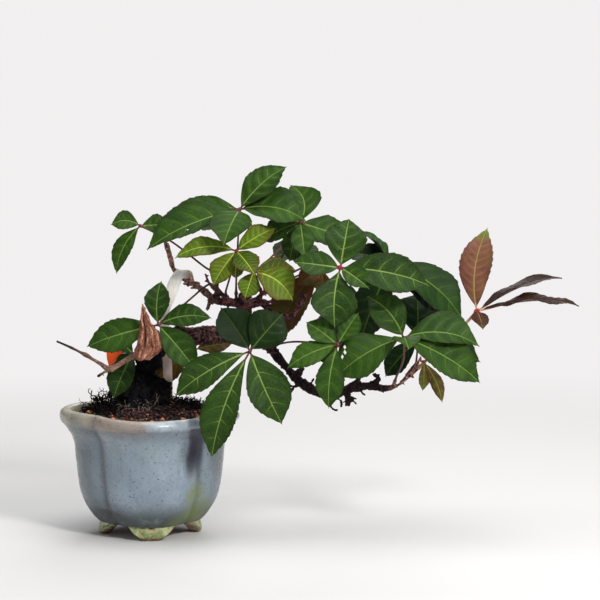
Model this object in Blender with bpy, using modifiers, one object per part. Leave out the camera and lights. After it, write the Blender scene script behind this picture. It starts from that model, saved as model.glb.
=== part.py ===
"""Virginia creeper bonsai: a woody vine with palmate leaves, in a four-lobed glazed pot.

Metres, +Z up. The frame's origin is on the table, under the middle of the whole plant's box.
Sizes and places below are in millimetres in the pot's frame: its origin is under the middle of
the pot, x runs along the cascade, -y is the front and z is up. The object is a trained vine, so
its wood and leaves follow routes that are listed as points, and everything else follows from
the driving dimensions.
"""

import math

import bmesh
import bpy
from mathutils import Matrix, Vector

MM = 0.001
WELD = 0.000004
GAP = 0.3  # clearance between pieces that rest on each other

# Pot: four lobes, turned profile then lobed.
POT_STEPS = 48
LOBE_DEPTH = 0.30  # how far each lobe's centre lies from the axis, as a part of the radius
LOBE_STARTS = 12.0  # inside this radius the pot is round, so that the drain hole is
LOBE_FULL = 32.0
POT_TURN = 5.5  # degrees that the lobes and feet are turned from the axes, front towards +x
DRAIN_HOLE = 7.5
FLOOR_TOP = 16.0
POT_OUTSIDE = [(9.0, 33.5), (11, 38), (18, 43.4), (27, 47.9), (39, 50.5), (52, 51.9), (63, 52.8),
               (70, 55), (78, 60.3), (82, 62.0)]
POT_RIM = [(84.5, 62.6), (87, 62.2), (88.6, 60.4), (89.0, 58.0), (88, 55.6), (85, 54.6)]
POT_INSIDE = [(79, 52.6), (70, 49.0), (60, 47.2), (45, 45.6), (30, 42.4), (20, 36.5), (FLOOR_TOP, 30)]

# Feet: one under each lobe. A ring under the pot, cut to a half moon across each lobe.
FOOT_SECTION = [(0, 28.5), (0, 35.4), (5, 36.4), (12, 34.5), (12, 22.0)]  # the ring's (height, radius)
FOOT_SIDE = [(5.0, 0), (8.8, 2.6), (12.4, 5.6), (15.2, 8.6), (17.0, 12.5)]  # (half width, height)
FOOT_REACH = 100.0

# Soil and what is set in it.
SOIL_EDGE = 84.0
SOIL_MOUND = [(0, 92.5), (12, 92.0), (24, 90.0), (38, 86.5), (48, 84.6)]  # (radius, height)
SOIL_RADIUS = 53.1
SOIL_FOOT_RADIUS = 29.4
WALL_GAP = 0.4
MESH_SIDE = 24.0
MESH_BARS = 5
MESH_BAR = 1.0

# Wood: stations are (x, y, z, radius).
WOOD_SIDES = 2  # bevel resolution: 8 sides
TWIG_SIDES = 1
WOOD_STEP = 7.0
KNOBBLE = 0.07  # how far the rings of old buds swell the wood, as a part of its radius
KNOBBLE_TURN = 2.4
TRUNK_BASE = [(-4, 0, 70, 11), (-5, 0, 82, 15), (-5, 0, 92, 16.5), (-5, 0, 101, 12), (-4, 0, 109, 9.6)]
MAIN_STEM = [(-5, 0, 100, 10), (-4, 0, 110, 9.5), (-2, -1, 120, 8.2), (5, -3, 130, 7.4), (16, -4, 137, 7.0),
             (32, -5, 139, 6.9), (51, -4, 140, 6.5), (69, 0, 138, 5.3), (83, 3, 132, 4.4),
             (92, 2, 121, 4.1), (103, -3, 109, 3.9), (117, -6, 100, 3.4), (128, -4, 96.5, 3.0),
             (139, 0, 101, 3.3), (152, 2, 103, 2.9), (165, -2, 102, 2.5), (175, -5, 105, 2.0),
             (183, -7, 112, 1.7), (187, -8, 119, 1.3)]
THICK = ("stem", "upper")
BRANCHES = {
    "root_right": [(-5, 0, 106, 6), (6, -3, 102, 5.6), (14, -6, 94, 4.6), (22, -10, 82, 2.6)],
    "root_left": [(-6, 0, 104, 6), (-17, -5, 96, 4.6), (-27, -8, 86, 3.2), (-36, -10, 76, 1.8)],
    "root_front": [(-5, -1, 103, 6), (-9, -14, 95, 5.0), (-13, -25, 84, 3.0)],
    "root_back": [(-4, 2, 103, 6), (0, 15, 95, 4.8), (6, 28, 82, 2.8)],
    "upper": [(60, -2, 138, 5.2), (66, 2, 149, 4.6), (68, 3, 159, 4.6), (58, 3, 162, 4.8), (47, 0, 164, 4.2),
              (38, -2, 171, 3.1), (31, -2, 176, 2.5), (25, -1, 178, 1.9), (20, 1, 181, 1.7), (17, 2, 186, 2.3),
              (15, 2, 193, 2.9), (12, 3, 203, 1.6), (8, 4, 210, 1.2)],
    "upper_right": [(67, 3, 159, 3.6), (76, 1, 161, 2.8), (85, -2, 160, 1.6)],
    "upper_twig": [(74, 1, 161, 2.6), (79, 2, 168, 2.2), (86, 4, 172, 1.6)],
    "upper_back": [(66, 4, 157, 3.0), (68, 16, 164, 2.4), (72, 28, 172, 1.6)],
    "left_stub": [(47, 0, 164, 2.8), (48, -3, 171, 2.2), (47, -5, 178, 1.5)],
    "fork_high": [(34, -3, 174, 2.2), (30, -8, 178, 1.9), (29, -10, 181, 1.3)],
    "fork_low": [(31, -7, 177, 1.7), (25, -10, 176, 1.2)],
    "left_twig": [(-2, -4, 124, 2.6), (-9, -16, 122, 2.0), (-17, -22, 120, 1.9), (-25, -26, 119, 2.5),
                  (-32, -28, 123, 1.4),
                  (-40, -30, 127, 1.2), (-49, -30, 133, 1.0), (-61, -30, 137, 0.7)],
    "left_twig_side": [(-25, -26, 119, 1.3), (-33, -30, 114, 0.8)],
    "stub_1": [(102, -3, 110, 2.2), (108, -4, 116, 1.3)],
    "stub_2": [(141, 0, 101, 2.2), (148, -2, 110, 1.4)],
    "stub_3": [(154, 2, 103, 2.0), (161, 1, 108, 1.5), (157, -3, 112, 1.0)],
    "stub_4": [(139, 0, 101, 2.2), (140, -2, 90, 1.1)],
    "end_twig": [(175, -5, 105, 1.6), (182, 2, 112, 1.3)],
}

# Leaves: each springs from a spur on the wood and carries leaflets round a hub.
PETIOLE = 0.75
PETIOLE_STEP = 12.0
PETIOLE_SEAT = 4.0  # it runs on this far in line with its spur before it bends
SPUR = 1.3
SPUR_TIP = 1.1
HUB = 1.4
BLADE_EDGE = 0.4  # half the least width of a blade
BLADE_THICK = 0.6
BLADE_ALONG = 6
ARCH = 0.07  # how far a blade rises above the line from hub to tip
TROUGH = 0.16  # how far its edges rise above its midrib
# name: (point inside the wood, spur tip), route of the petiole, hub, the way it faces, and its leaflets as
# (tip from the hub x, y, z, width, roll in degrees, sideways bend)
LEAVES = {
    "leaf_low_front": (
        ((72, 0, 138), (73, -9, 139)), [(76, -30, 143)], (72, -54, 134), (0.1, -0.9, 0.4),
        [(-22, 10, 29, 22, 0, 0), (25, 8, 24, 24, 0, 0), (-51, -4, -30, 20, 0, -0.5), (-26, -8, -72, 25, 0, 3),
         (22, -6, -49, 27, 0, 2)]),
    "leaf_center": (
        ((84, 3, 171), (88, 2, 174)), [(108, -22, 188)], (133, -48, 190), (0.0, -0.85, 0.5),
        [(6, 8, 33, 28, 0, 0), (-31, 2, 4, 20, 0, -1), (60, -5, -11, 28, 0, -1), (-4, -14, -39, 31, 0, 2),
         (19, 10, -10, 11, 0, 0)]),
    "leaf_low_center": (
        ((84, 3, 131), (89, -4, 133)), [(104, -32, 138)], (131, -60, 139), (0.0, -0.85, 0.5),
        [(-21, 6, 15, 17, 0, 0), (14, 6, 21, 15, 0, 0), (-34, -3, -15, 18, 0, 1.5), (-6, -3, -43, 19, 0, 2),
         (-14, 8, -11, 12, 0, 0)]),
    "leaf_right": (
        ((171, -4, 104), (172, -8, 108)), [(177, -28, 126)], (176, -42, 142), (0.0, -0.8, 0.6),
        [(-43, -10, -25, 23, 0, 2), (-24, 4, 28, 25, 0, 3), (52, -2, -5, 26, 0, -5), (49, -10, -29, 27, 0, -1.5),
         (2, -28, -7, 18, 0, 0)]),
    "leaf_back_right": (
        ((144, 0, 105), (149, 2, 112)), [(160, 6, 150)], (169, -8, 191), (0.1, -0.7, 0.7),
        [(-21, 8, 22, 20, 60, 0), (48, -8, -38, 25, 0, -3), (34, 14, -36, 22, 0, 0), (-24, 12, -3, 16, 0, 0),
         (-10, 14, -46, 20, 0, 0)]),
    "leaf_red_tip": (
        ((183, -7, 112), (189, -4, 117)), [(207, 4, 134), (222, -1, 148)], (229, -8, 157), (0.1, -0.9, 0.3),
        [(7, 6, 58, 22, 0, -6), (61, 14, 22, 18, -75, 0), (69, -12, 5, 22, -72, 0), (3, -14, -11, 11, 0, 0)]),
    "leaf_tiny": (
        ((186, -8, 117), (188, -8.5, 121)), [(190, -10, 122)], (192, -13, 122), (0.2, -0.9, 0.3),
        [(-1, -3, -20, 8, 0, 0), (13, -3, -28, 9, 0, -1)]),
    "leaf_top": (
        ((61, 3, 163), (61, 1, 169)), [(62, -6, 195)], (64, -12, 228), (0.0, -0.7, 0.7),
        [(-64, -10, -26, 20, 0, 0), (-50, 12, -4, 21, 0, 2.5), (-10, -32, -22, 29, 0, 0), (32, 6, 30, 24, 0, -1),
         (45, -8, -6, 25, 0, -4)]),
    "leaf_far_left": (
        ((47, -5, 177), (46, -5, 181)), [(40, -5, 187), (16, -1, 205)], (-6, 2, 216), (-0.3, -0.9, 0.3),
        [(-20, -4, 1, 14, 0, 3), (-17, -4, -33, 15, 0, 2.5), (17, 4, 3, 11, 0, 0)]),
    "leaf_trunk_front": (
        ((47, -4, 173), (45, -9, 175)), [(38, -13, 173), (25, -18, 162)], (8, -24, 149), (-0.1, -0.9, 0.4),
        [(2, 2, 30, 17, 0, -1.5), (37, -2, 4, 16, 0, -3), (27, -10, -30, 21, 0, 0), (-50, 2, -15, 23, 0, 0)]),
    "leaf_low_left": (
        ((-2, -1, 123), (-9, 0, 125)), [], (-11, -5, 127), (-0.2, -0.9, 0.4),
        [(-14, -6, -30, 16, 0, 0), (-10, 2, -11, 8, 0, 0), (-14, 14, 2, 13, 0, 0)]),
    "leaf_young_left": (
        ((54, 2, 163), (54, -4, 168)), [(58, -16, 184)], (62, -24, 200), (0.0, -0.8, 0.6),
        [(-42, -5, -4, 13, 0, 4), (-16, -8, -23, 17, 0, 0), (9, -16, -15, 18, 0, 0), (26, 4, 16, 13, 0, 0),
         (-1, 6, -20, 11, 0, 0)]),
    "leaf_young_mid": (
        ((79, 2, 168), (78, -3, 172)), [(76, -16, 180)], (74, -30, 186), (0.1, -0.85, 0.5),
        [(-6, -4, -18, 15, 0, 0), (26, -6, -20, 19, 0, -3.5), (31, -2, -4, 15, 0, 0), (25, 10, 4, 13, 0, 0)]),
    "leaf_crown": (
        ((84, 4, 171), (86, 1, 177)), [(95, -4, 198)], (106, -12, 219), (0.0, -0.75, 0.65),
        [(-26, 10, -13, 18, 0, 0), (-8, 6, -28, 17, 0, 0), (3, -20, -23, 16, 0, 0), (34, 4, 0, 20, 0, 3),
         (-7, 10, 26, 24, 0, 6)]),
    "leaf_maroon": (
        ((85, 4, 172), (90, 8, 173)), [(104, 14, 180)], (121, 8, 185), (-0.2, -0.9, 0.3),
        [(-29, 10, -49, 28, 0, 4), (-17, -8, -10, 14, 0, 0), (11, 14, 13, 18, 0, 0)]),
    "leaf_olive": (
        ((32, -2, 137), (32, 5, 136)), [(32, 12, 133)], (31, 22, 127), (0.1, -0.8, 0.6),
        [(-30, 4, -22, 24, 0, 0), (26, 4, 1, 16, 0, 0), (-6, 14, 14, 14, 0, 0)]),
    "leaf_behind_right": (
        ((181, 1, 111), (185, 4, 116)), [(188, 3, 126)], (188, -4, 137), (0.0, -0.8, 0.6),
        [(-23, 4, -27, 18, 0, 0), (45, 4, -16, 21, 0, 0), (16, 14, 15, 18, 0, 0)]),
    "leaf_back_upper": (
        ((71, 26, 170), (73, 32, 174)), [(80, 42, 186)], (86, 50, 200), (0.0, 0.75, 0.65),
        [(-32, 8, 4, 18, 0, 0), (-14, 18, -26, 20, 0, 0), (18, 20, -24, 20, 0, 0), (34, 4, 2, 18, 0, 0),
         (4, 4, 22, 16, 0, 0)]),
    "leaf_back_low": (
        ((128, -3, 98), (129, 4, 102)), [(133, 18, 122)], (138, 34, 150), (0.1, 0.8, 0.6),
        [(-28, 6, -4, 18, 0, 0), (-12, 14, -26, 20, 0, 0), (18, 14, -24, 20, 0, 0), (30, 6, 2, 18, 0, 0),
         (4, 2, 22, 15, 0, 0)]),
    "leaf_back_left": (
        ((9, 4, 207), (8, 9, 210)), [(14, 20, 215)], (34, 30, 216), (-0.2, 0.8, 0.6),
        [(-22, 4, -8, 13, 0, 0), (-10, 14, -13, 14, 0, 0), (15, 14, -10, 15, 0, 0), (24, 4, 0, 15, 0, 0)]),
}

# A withered leaf, standing curled on its stalk in front of the trunk.
DRY_SPUR = ((-1, -4, 118), (-1, -12, 118))
DRY_BASE = (0, -27, 119)
DRY_TIP = (-3, -3, 44)
DRY_FACING = (0.2, -1, 0)
DRY_WIDTH = 22.0
DRY_ARCH = 0.05
DRY_TROUGH = 0.5

# White label strip, hooked over a branch: stations are (x, y, z, width, turn in degrees about the route).
LABEL_THICK = 0.6
LABEL = [(12, 14, 74, 6.6, 0), (12, 14, 92, 6.6, 0), (12, 14, 106, 6.6, 0), (12, 13.5, 121, 6.6, 0),
         (11, 12, 134, 6.6, 5), (7, 6, 147, 6.4, 15), (12.5, -5, 158, 5.6, 10), (15.5, -7, 166, 6.6, 0),
         (17, -6.5, 173, 8.5, 0), (19.5, -6.5, 179, 8, 10), (23.5, -2.5, 184.5, 6.6, 20), (26.5, 4.5, 182.5, 7, 10),
         (28, 7.5, 177, 6.6, 0)]
LABEL_STEP = 7.0
LABEL_SLOT = 0.7
SLOT_TOP = 100.0

# Orange tag: a tapering stake.
TAG_AT = (-26, 16)
TAG_TOP = 134.0
TAG_FOOT = 76.0
TAG_THICK = 1.0
TAG_SIDE = [(6.2, TAG_TOP), (6.1, TAG_TOP - 14), (1.4, TAG_FOOT + 6), (0.5, TAG_FOOT)]  # (half width, height)


def point(values):
    return Vector(values[:3]) * MM


def material(name, colour, roughness, metallic=0.0):
    made = bpy.data.materials.new(name)
    made.use_nodes = True
    shader = made.node_tree.nodes["Principled BSDF"]
    shader.inputs["Base Color"].default_value = (*colour, 1)
    shader.inputs["Roughness"].default_value = roughness
    shader.inputs["Metallic"].default_value = metallic
    return made


def collection(name, hidden=False):
    made = bpy.data.collections.new(name)
    bpy.context.scene.collection.children.link(made)
    made.hide_render = hidden
    return made


def mesh_object(name, mesh, where):
    made = bpy.data.objects.new(name, mesh)
    where.objects.link(made)
    return made


def from_bmesh(name, bm, where):
    bmesh.ops.recalc_face_normals(bm, faces=bm.faces)
    mesh = bpy.data.meshes.new(name)
    bm.to_mesh(mesh)
    bm.free()
    return mesh_object(name, mesh, where)


def add_modifier(obj, kind, **settings):
    made = obj.modifiers.new(kind.title(), kind)
    for key, value in settings.items():
        setattr(made, key, value)
    return made


def baked(obj):
    """Replaces the object's mesh, or curve, by what its modifiers make of it, with its loose caps welded."""
    graph = bpy.context.evaluated_depsgraph_get()
    mesh = bpy.data.meshes.new_from_object(obj.evaluated_get(graph))
    bm = bmesh.new()
    bm.from_mesh(mesh)
    bmesh.ops.remove_doubles(bm, verts=bm.verts, dist=WELD)
    bmesh.ops.dissolve_degenerate(bm, edges=bm.edges, dist=WELD)
    bm.to_mesh(mesh)
    bm.free()
    made = bpy.data.objects.new(obj.name + "_mesh", mesh)
    made.matrix_world = obj.matrix_world
    for holder in obj.users_collection:
        holder.objects.link(made)
    bpy.data.objects.remove(obj)
    return made


def smooth_route(stations, step):
    """Points about one step apart on a Catmull-Rom curve through the stations, whose later columns it blends too."""
    ends = [stations[0], *stations, stations[-1]]
    route = []
    for before, start, end, after in zip(ends, ends[1:], ends[2:], ends[3:]):
        count = max(1, round(math.dist(start[:3], end[:3]) / step))
        for index in range(count):
            t = index / count
            route.append(tuple(
                0.5 * (2 * b + (c - a) * t + (2 * a - 5 * b + 4 * c - d) * t * t + (3 * b - a - 3 * c + d) * t**3)
                for a, b, c, d in zip(before, start, end, after)))
    return [*route, tuple(stations[-1])]


def tube(name, stations, where, sides=TWIG_SIDES, grow=0.0):
    """A closed tube whose stations are (x, y, z, radius); grow is added to each radius."""
    curve = bpy.data.curves.new(name, "CURVE")
    curve.dimensions = "3D"
    curve.bevel_depth = MM
    curve.bevel_resolution = sides
    curve.use_fill_caps = True
    spline = curve.splines.new("POLY")
    spline.points.add(len(stations) - 1)
    for at, station in zip(spline.points, stations):
        at.co = (*point(station), 1)
        at.radius = station[3] + grow
    return baked(mesh_object(name, curve, where))


def combined(name, bodies, operation, where, base=None):
    """Unites the bodies, or cuts them from the base, and returns the one mesh that results."""
    held = bpy.data.collections.new(name + "_bodies")
    first = base or bodies[0]
    for body in bodies:
        if body is not first:
            held.objects.link(body)
    add_modifier(first, "BOOLEAN", operand_type="COLLECTION", collection=held, operation=operation)
    bpy.context.view_layer.update()
    made = baked(first)
    made.name = name
    for holder in made.users_collection:
        holder.objects.unlink(made)
    where.objects.link(made)
    for body in list(held.objects):
        bpy.data.objects.remove(body)
    bpy.data.collections.remove(held)
    return made


def finish(obj, colour, smooth_under=40):
    obj.data.materials.clear()
    obj.data.materials.append(colour)
    obj.data.shade_smooth()
    obj.data.set_sharp_from_angle(angle=math.radians(smooth_under))
    obj.data.name = obj.name


def lobed(radius, angle):
    """The radius after the turned form is drawn into four lobes, with a sharp groove between each two."""
    depth = LOBE_DEPTH * min(1.0, max(0.0, (radius - LOBE_STARTS) / (LOBE_FULL - LOBE_STARTS)))
    quarter = math.pi / 2
    off = (angle + quarter / 2) % quarter - quarter / 2
    return radius * (depth * math.cos(off) + math.sqrt((1 - depth) ** 2 - (depth * math.sin(off)) ** 2))


def turned(name, profile, where, closed):
    """Turns (z, radius) points round the axis with a Screw, then draws the form into lobes."""
    bm = bmesh.new()
    verts = [bm.verts.new((radius * MM, 0, height * MM)) for height, radius in profile]
    for start, end in zip(verts, verts[1:] + ([verts[0]] if closed else [])):
        if start is not end:
            bm.edges.new((start, end))
    mesh = bpy.data.meshes.new(name)
    bm.to_mesh(mesh)
    bm.free()
    made = mesh_object(name, mesh, where)
    add_modifier(made, "SCREW", steps=POT_STEPS, render_steps=POT_STEPS, use_merge_vertices=True,
                 merge_threshold=0.00001, use_smooth_shade=True)
    made = baked(made)
    for vertex in made.data.vertices:
        radius = math.hypot(vertex.co.x, vertex.co.y) / MM
        if radius > LOBE_STARTS:
            angle = math.atan2(vertex.co.y, vertex.co.x)
            ratio = lobed(radius, angle) / radius
            vertex.co.x *= ratio
            vertex.co.y *= ratio
    made.data.transform(Matrix.Rotation(math.radians(POT_TURN), 4, "Z"))
    bm = bmesh.new()
    bm.from_mesh(made.data)
    bmesh.ops.recalc_face_normals(bm, faces=bm.faces)
    bm.to_mesh(made.data)
    bm.free()
    return made


def upright_plate(name, right, thick, middle, where):
    """A plate standing across y at the middle (x, y), mirrored from its right outline of (half width, height)."""
    outline = right + [(-x, height) for x, height in reversed(right)]
    curve = bpy.data.curves.new(name, "CURVE")
    curve.dimensions = "2D"
    curve.fill_mode = "BOTH"
    curve.extrude = thick / 2 * MM
    spline = curve.splines.new("POLY")
    spline.points.add(len(outline) - 1)
    for at, (x, height) in zip(spline.points, outline):
        at.co = (x * MM, height * MM, 0, 1)
    spline.use_cyclic_u = True
    made = baked(mesh_object(name, curve, where))
    stand = Matrix.Translation((middle[0] * MM, middle[1] * MM, 0)) @ Matrix.Rotation(math.pi / 2, 4, "X")
    made.data.transform(stand)
    return made


def make_feet(where):
    """All four feet: two plates with the half-moon outline, crossing under the pot, kept only inside the ring."""
    plates = []
    for turn in (POT_TURN, POT_TURN + 90):
        plate = upright_plate("plate", FOOT_SIDE, FOOT_REACH, (0, 0), where)
        plate.data.transform(Matrix.Rotation(math.radians(turn), 4, "Z"))
        plates.append(plate)
    cross = combined("cross", plates, "UNION", where)
    ring = turned("ring", FOOT_SECTION[::-1], where, closed=True)
    return combined("feet", [cross], "INTERSECT", where, base=ring)


def box(name, low, high, where):
    bm = bmesh.new()
    bmesh.ops.create_cube(bm, size=1)
    middle = (point(low) + point(high)) / 2
    size = point(high) - point(low)
    for vert in bm.verts:
        vert.co = Vector(a * b for a, b in zip(vert.co, size)) + middle
    return from_bmesh(name, bm, where)


def make_pot(parts, cutters):
    profile = [(FLOOR_TOP, DRAIN_HOLE), (POT_OUTSIDE[0][0], DRAIN_HOLE), *POT_OUTSIDE, *POT_RIM, *POT_INSIDE]
    body = turned("pot_body", profile[::-1], cutters, closed=True)
    pot = combined("pot", [make_feet(cutters)], "UNION", parts, base=body)
    finish(pot, material("glaze", (0.33, 0.43, 0.50), 0.25))
    return pot


def make_drainage_mesh(parts, cutters):
    low = FLOOR_TOP + GAP
    half = MESH_SIDE / 2
    bars = []
    for index in range(MESH_BARS):
        middle = -half + MESH_BAR / 2 + index * (MESH_SIDE - MESH_BAR) / (MESH_BARS - 1)
        edges = (middle - MESH_BAR / 2, middle + MESH_BAR / 2)
        over = 0.11 * (index % 2)  # keeps the faces of crossing bars out of one plane
        bars.append(box("bar", (edges[0], -half - over, low), (edges[1], half + over, low + MESH_BAR), cutters))
        bars.append(box("bar", (-half, edges[0], low + 0.1), (half, edges[1], low + MESH_BAR - 0.1), cutters))
    made = combined("drainage_mesh", bars, "UNION", parts)
    finish(made, material("mesh_plastic", (0.05, 0.05, 0.05), 0.5), smooth_under=20)
    return made


def make_soil(parts, cutters, buried):
    low = FLOOR_TOP + GAP
    wall = [(height, radius - WALL_GAP) for height, radius in POT_INSIDE if height > FLOOR_TOP]
    profile = [(height, radius) for radius, height in SOIL_MOUND]
    profile += [(SOIL_EDGE, SOIL_RADIUS), *wall, (low, SOIL_FOOT_RADIUS), (low, 0)]
    body = turned("soil_body", profile, cutters, closed=False)
    recess = MESH_SIDE / 2 + 2 * GAP
    over_mesh = box("over_mesh", (-recess, -recess, low - 1), (recess, recess, low + MESH_BAR + GAP), cutters)
    soil = combined("soil", [over_mesh, *buried], "DIFFERENCE", parts, base=body)
    finish(soil, material("soil", (0.09, 0.04, 0.03), 0.95), smooth_under=30)
    return soil


def knobbled(stations):
    """The same route in finer steps, with the swellings that rings of old buds leave."""
    route = smooth_route(stations, WOOD_STEP)
    return [(x, y, z, r * (1 + KNOBBLE * math.sin(KNOBBLE_TURN * index))) for index, (x, y, z, r) in enumerate(route)]


def make_wood(parts, cutters):
    """The trunk with its roots, branches, twigs and spurs, and the hollows that its buried part leaves in the soil."""
    under = {"base": TRUNK_BASE, **{name: route for name, route in BRANCHES.items() if name.startswith("root")}}
    over = {"stem": MAIN_STEM, **{name: route for name, route in BRANCHES.items() if name not in under}}
    bodies = [tube(name, smooth_route(route, WOOD_STEP), cutters, WOOD_SIDES) for name, route in under.items()]
    hollows = [tube(name, smooth_route(route, WOOD_STEP), cutters, WOOD_SIDES, grow=1.5 * GAP)
               for name, route in under.items()]
    bodies += [tube(name, knobbled(route), cutters, WOOD_SIDES if name in THICK else TWIG_SIDES)
               for name, route in over.items()]
    for inside, tip in [*(leaf[0] for leaf in LEAVES.values()), DRY_SPUR]:
        bodies.append(tube("spur", [(*inside, SPUR), (*tip, SPUR_TIP)], cutters))
    wood = combined("trunk_and_branches", bodies, "UNION", parts)
    finish(wood, material("bark", (0.10, 0.05, 0.045), 0.85))
    return wood, hollows


def blade_width(u):
    """Half the width of a blade at u from base to tip, as a part of its widest: wedge base, drawn-out tip."""
    return 3.42 * u**1.1 * (1 - u) ** 0.7 * (1 - u**7)


def dry_width(u):
    """A withered blade is widest low down, where it still lies open."""
    return 1.95 * (u + 0.02) ** 0.4 * (1 - u) ** 0.95


def blade(base, tip, width, facing, where, roll=0, bend=0, arch=ARCH, trough=TROUGH, shape=blade_width):
    """A thin leaflet: a grid bent over its midrib, thickened with Solidify."""
    length = (tip - base).length
    along = (tip - base) / length
    normal = (facing - along * facing.dot(along)).normalized()
    normal.rotate(Matrix.Rotation(math.radians(roll), 3, along))
    side = along.cross(normal)
    bm = bmesh.new()
    bmesh.ops.create_grid(bm, x_segments=2, y_segments=BLADE_ALONG, size=1)
    for vert in bm.verts:
        across, u = vert.co.x, (vert.co.y + 1) / 2
        half = max(BLADE_EDGE, width / 2 * shape(u)) * MM
        bow = 4 * u * (1 - u)
        rise = arch * length * bow + trough * abs(across) * half
        vert.co = base + along * length * u + side * (across * half + bend * MM * bow) + normal * rise
    made = from_bmesh("blade", bm, where)
    add_modifier(made, "SOLIDIFY", thickness=BLADE_THICK * MM, offset=0)
    return baked(made)


def ball(name, middle, radius, where):
    bm = bmesh.new()
    bmesh.ops.create_icosphere(bm, subdivisions=1, radius=radius * MM)
    bmesh.ops.translate(bm, verts=bm.verts, vec=middle)
    return from_bmesh(name, bm, where)


def petiole_route(spur, route, hub):
    """Starts a gap beyond the spur's end, in line with the spur, so that the two ends meet face to face."""
    inside, tip = (Vector(values) for values in spur)
    away = (tip - inside).normalized()
    start = tip + away * GAP
    bent = smooth_route([tuple(start + away * PETIOLE_SEAT), *route, hub], PETIOLE_STEP)
    return [tuple(start), tuple(start + away * PETIOLE_SEAT / 2), *bent]


def make_leaf(name, leaf, parts, cutters, colour):
    spur, route, hub, facing, leaflets = leaf
    stations = [(*at, PETIOLE) for at in petiole_route(spur, route, hub)]
    bodies = [tube("petiole", stations, cutters), ball("hub", point(hub), HUB, cutters)]
    for x, y, z, width, roll, bend in leaflets:
        tip = point(hub) + point((x, y, z))
        bodies.append(blade(point(hub), tip, width, Vector(facing), cutters, roll, bend))
    made = combined(name, bodies, "UNION", parts)
    finish(made, colour)
    return made


def make_dry_leaf(parts, cutters):
    stalk = [(*at, PETIOLE) for at in petiole_route(DRY_SPUR, [], DRY_BASE)]
    tip = point(DRY_BASE) + point(DRY_TIP)
    curled = blade(point(DRY_BASE), tip, DRY_WIDTH, Vector(DRY_FACING), cutters, arch=DRY_ARCH,
                   trough=DRY_TROUGH, shape=dry_width)
    made = combined("dry_leaf", [tube("stalk", stalk, cutters), ball("hub", point(DRY_BASE), HUB, cutters), curled],
                    "UNION", parts)
    finish(made, material("dry_leaf", (0.35, 0.20, 0.12), 0.8))
    return made


def make_label(parts, cutters):
    """The strip as a grid along its route, thickened, and the slot that it stands in."""
    route = smooth_route(LABEL, LABEL_STEP)
    bm = bmesh.new()
    bmesh.ops.create_grid(bm, x_segments=1, y_segments=len(route) - 1, size=1)
    for vert in bm.verts:
        index = round((vert.co.y + 1) / 2 * (len(route) - 1))
        here = route[index]
        along = Vector(route[min(index + 1, len(route) - 1)][:3]) - Vector(route[max(index - 1, 0)][:3])
        across = Matrix.Rotation(math.radians(here[4]), 3, along) @ along.cross(Vector((0, 1, 0))).normalized()
        vert.co = point(here) + across * vert.co.x * here[3] / 2 * MM
    strip = from_bmesh("strip", bm, parts)
    add_modifier(strip, "SOLIDIFY", thickness=LABEL_THICK * MM, offset=0)
    made = baked(strip)
    made.name = "plant_label"
    finish(made, material("label_plastic", (0.75, 0.73, 0.70), 0.4))
    x, y, z, width, _ = LABEL[0]
    reach = width / 2 + LABEL_SLOT
    return made, box("slot", (x - reach, y - LABEL_SLOT, z - GAP), (x + reach, y + LABEL_SLOT, SLOT_TOP), cutters)


def make_tag(parts, cutters):
    """The stake, and the slot that it leaves in the soil."""
    made = upright_plate("orange_tag", TAG_SIDE, TAG_THICK, TAG_AT, parts)
    made.name = "orange_tag"
    finish(made, material("orange_plastic", (0.85, 0.13, 0.02), 0.45), smooth_under=20)
    wider = [(half + GAP, height) for half, height in TAG_SIDE[:-1]]
    wider.append((TAG_SIDE[-1][0] + GAP, TAG_FOOT - GAP))
    return made, upright_plate("tag_slot", wider, TAG_THICK + 2 * GAP, TAG_AT, cutters)


def centre_on_table(parts):
    """Hangs every part from one empty and moves it so that the origin is under the middle of the box."""
    corners = [vertex.co for obj in parts.objects for vertex in obj.data.vertices]
    middle = [(min(c[i] for c in corners) + max(c[i] for c in corners)) / 2 for i in range(2)]
    frame = bpy.data.objects.new("plant_frame", None)
    bpy.context.scene.collection.objects.link(frame)
    for obj in parts.objects:
        obj.parent = frame
    frame.location = (-middle[0], -middle[1], 0)


def main():
    for obj in list(bpy.data.objects):
        bpy.data.objects.remove(obj)
    parts = collection("virginia_creeper_bonsai")
    cutters = collection("cutters", hidden=True)
    make_pot(parts, cutters)
    make_drainage_mesh(parts, cutters)
    _, hollows = make_wood(parts, cutters)
    _, label_slot = make_label(parts, cutters)
    _, tag_slot = make_tag(parts, cutters)
    make_soil(parts, cutters, [*hollows, label_slot, tag_slot])
    green = material("leaf_green", (0.04, 0.13, 0.03), 0.45)
    young = material("leaf_young", (0.16, 0.30, 0.04), 0.45)
    bronze = material("leaf_bronze", (0.16, 0.06, 0.03), 0.5)
    tones = {"leaf_young_left": young, "leaf_young_mid": young, "leaf_red_tip": bronze, "leaf_maroon": bronze,
             "leaf_tiny": bronze}
    for name, leaf in LEAVES.items():
        make_leaf(name, leaf, parts, cutters, tones.get(name, green))
    make_dry_leaf(parts, cutters)
    centre_on_table(parts)


main()
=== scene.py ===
"""Virginia creeper bonsai in its glazed pot: the pieces that are seen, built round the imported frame.

Everything is metres, +Z up. Sizes and places below are in millimetres from the point on the table under
the middle of the pot: x runs along the cascade, -y is the front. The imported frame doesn't hold the routes
of the wood or the leaves' places, so the tables here start from the part's own; some leaflets and twigs were
then moved to follow the photo more closely.
"""

import math
import random

import bmesh
import bpy
import numpy as np
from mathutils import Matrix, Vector, kdtree, noise


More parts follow.
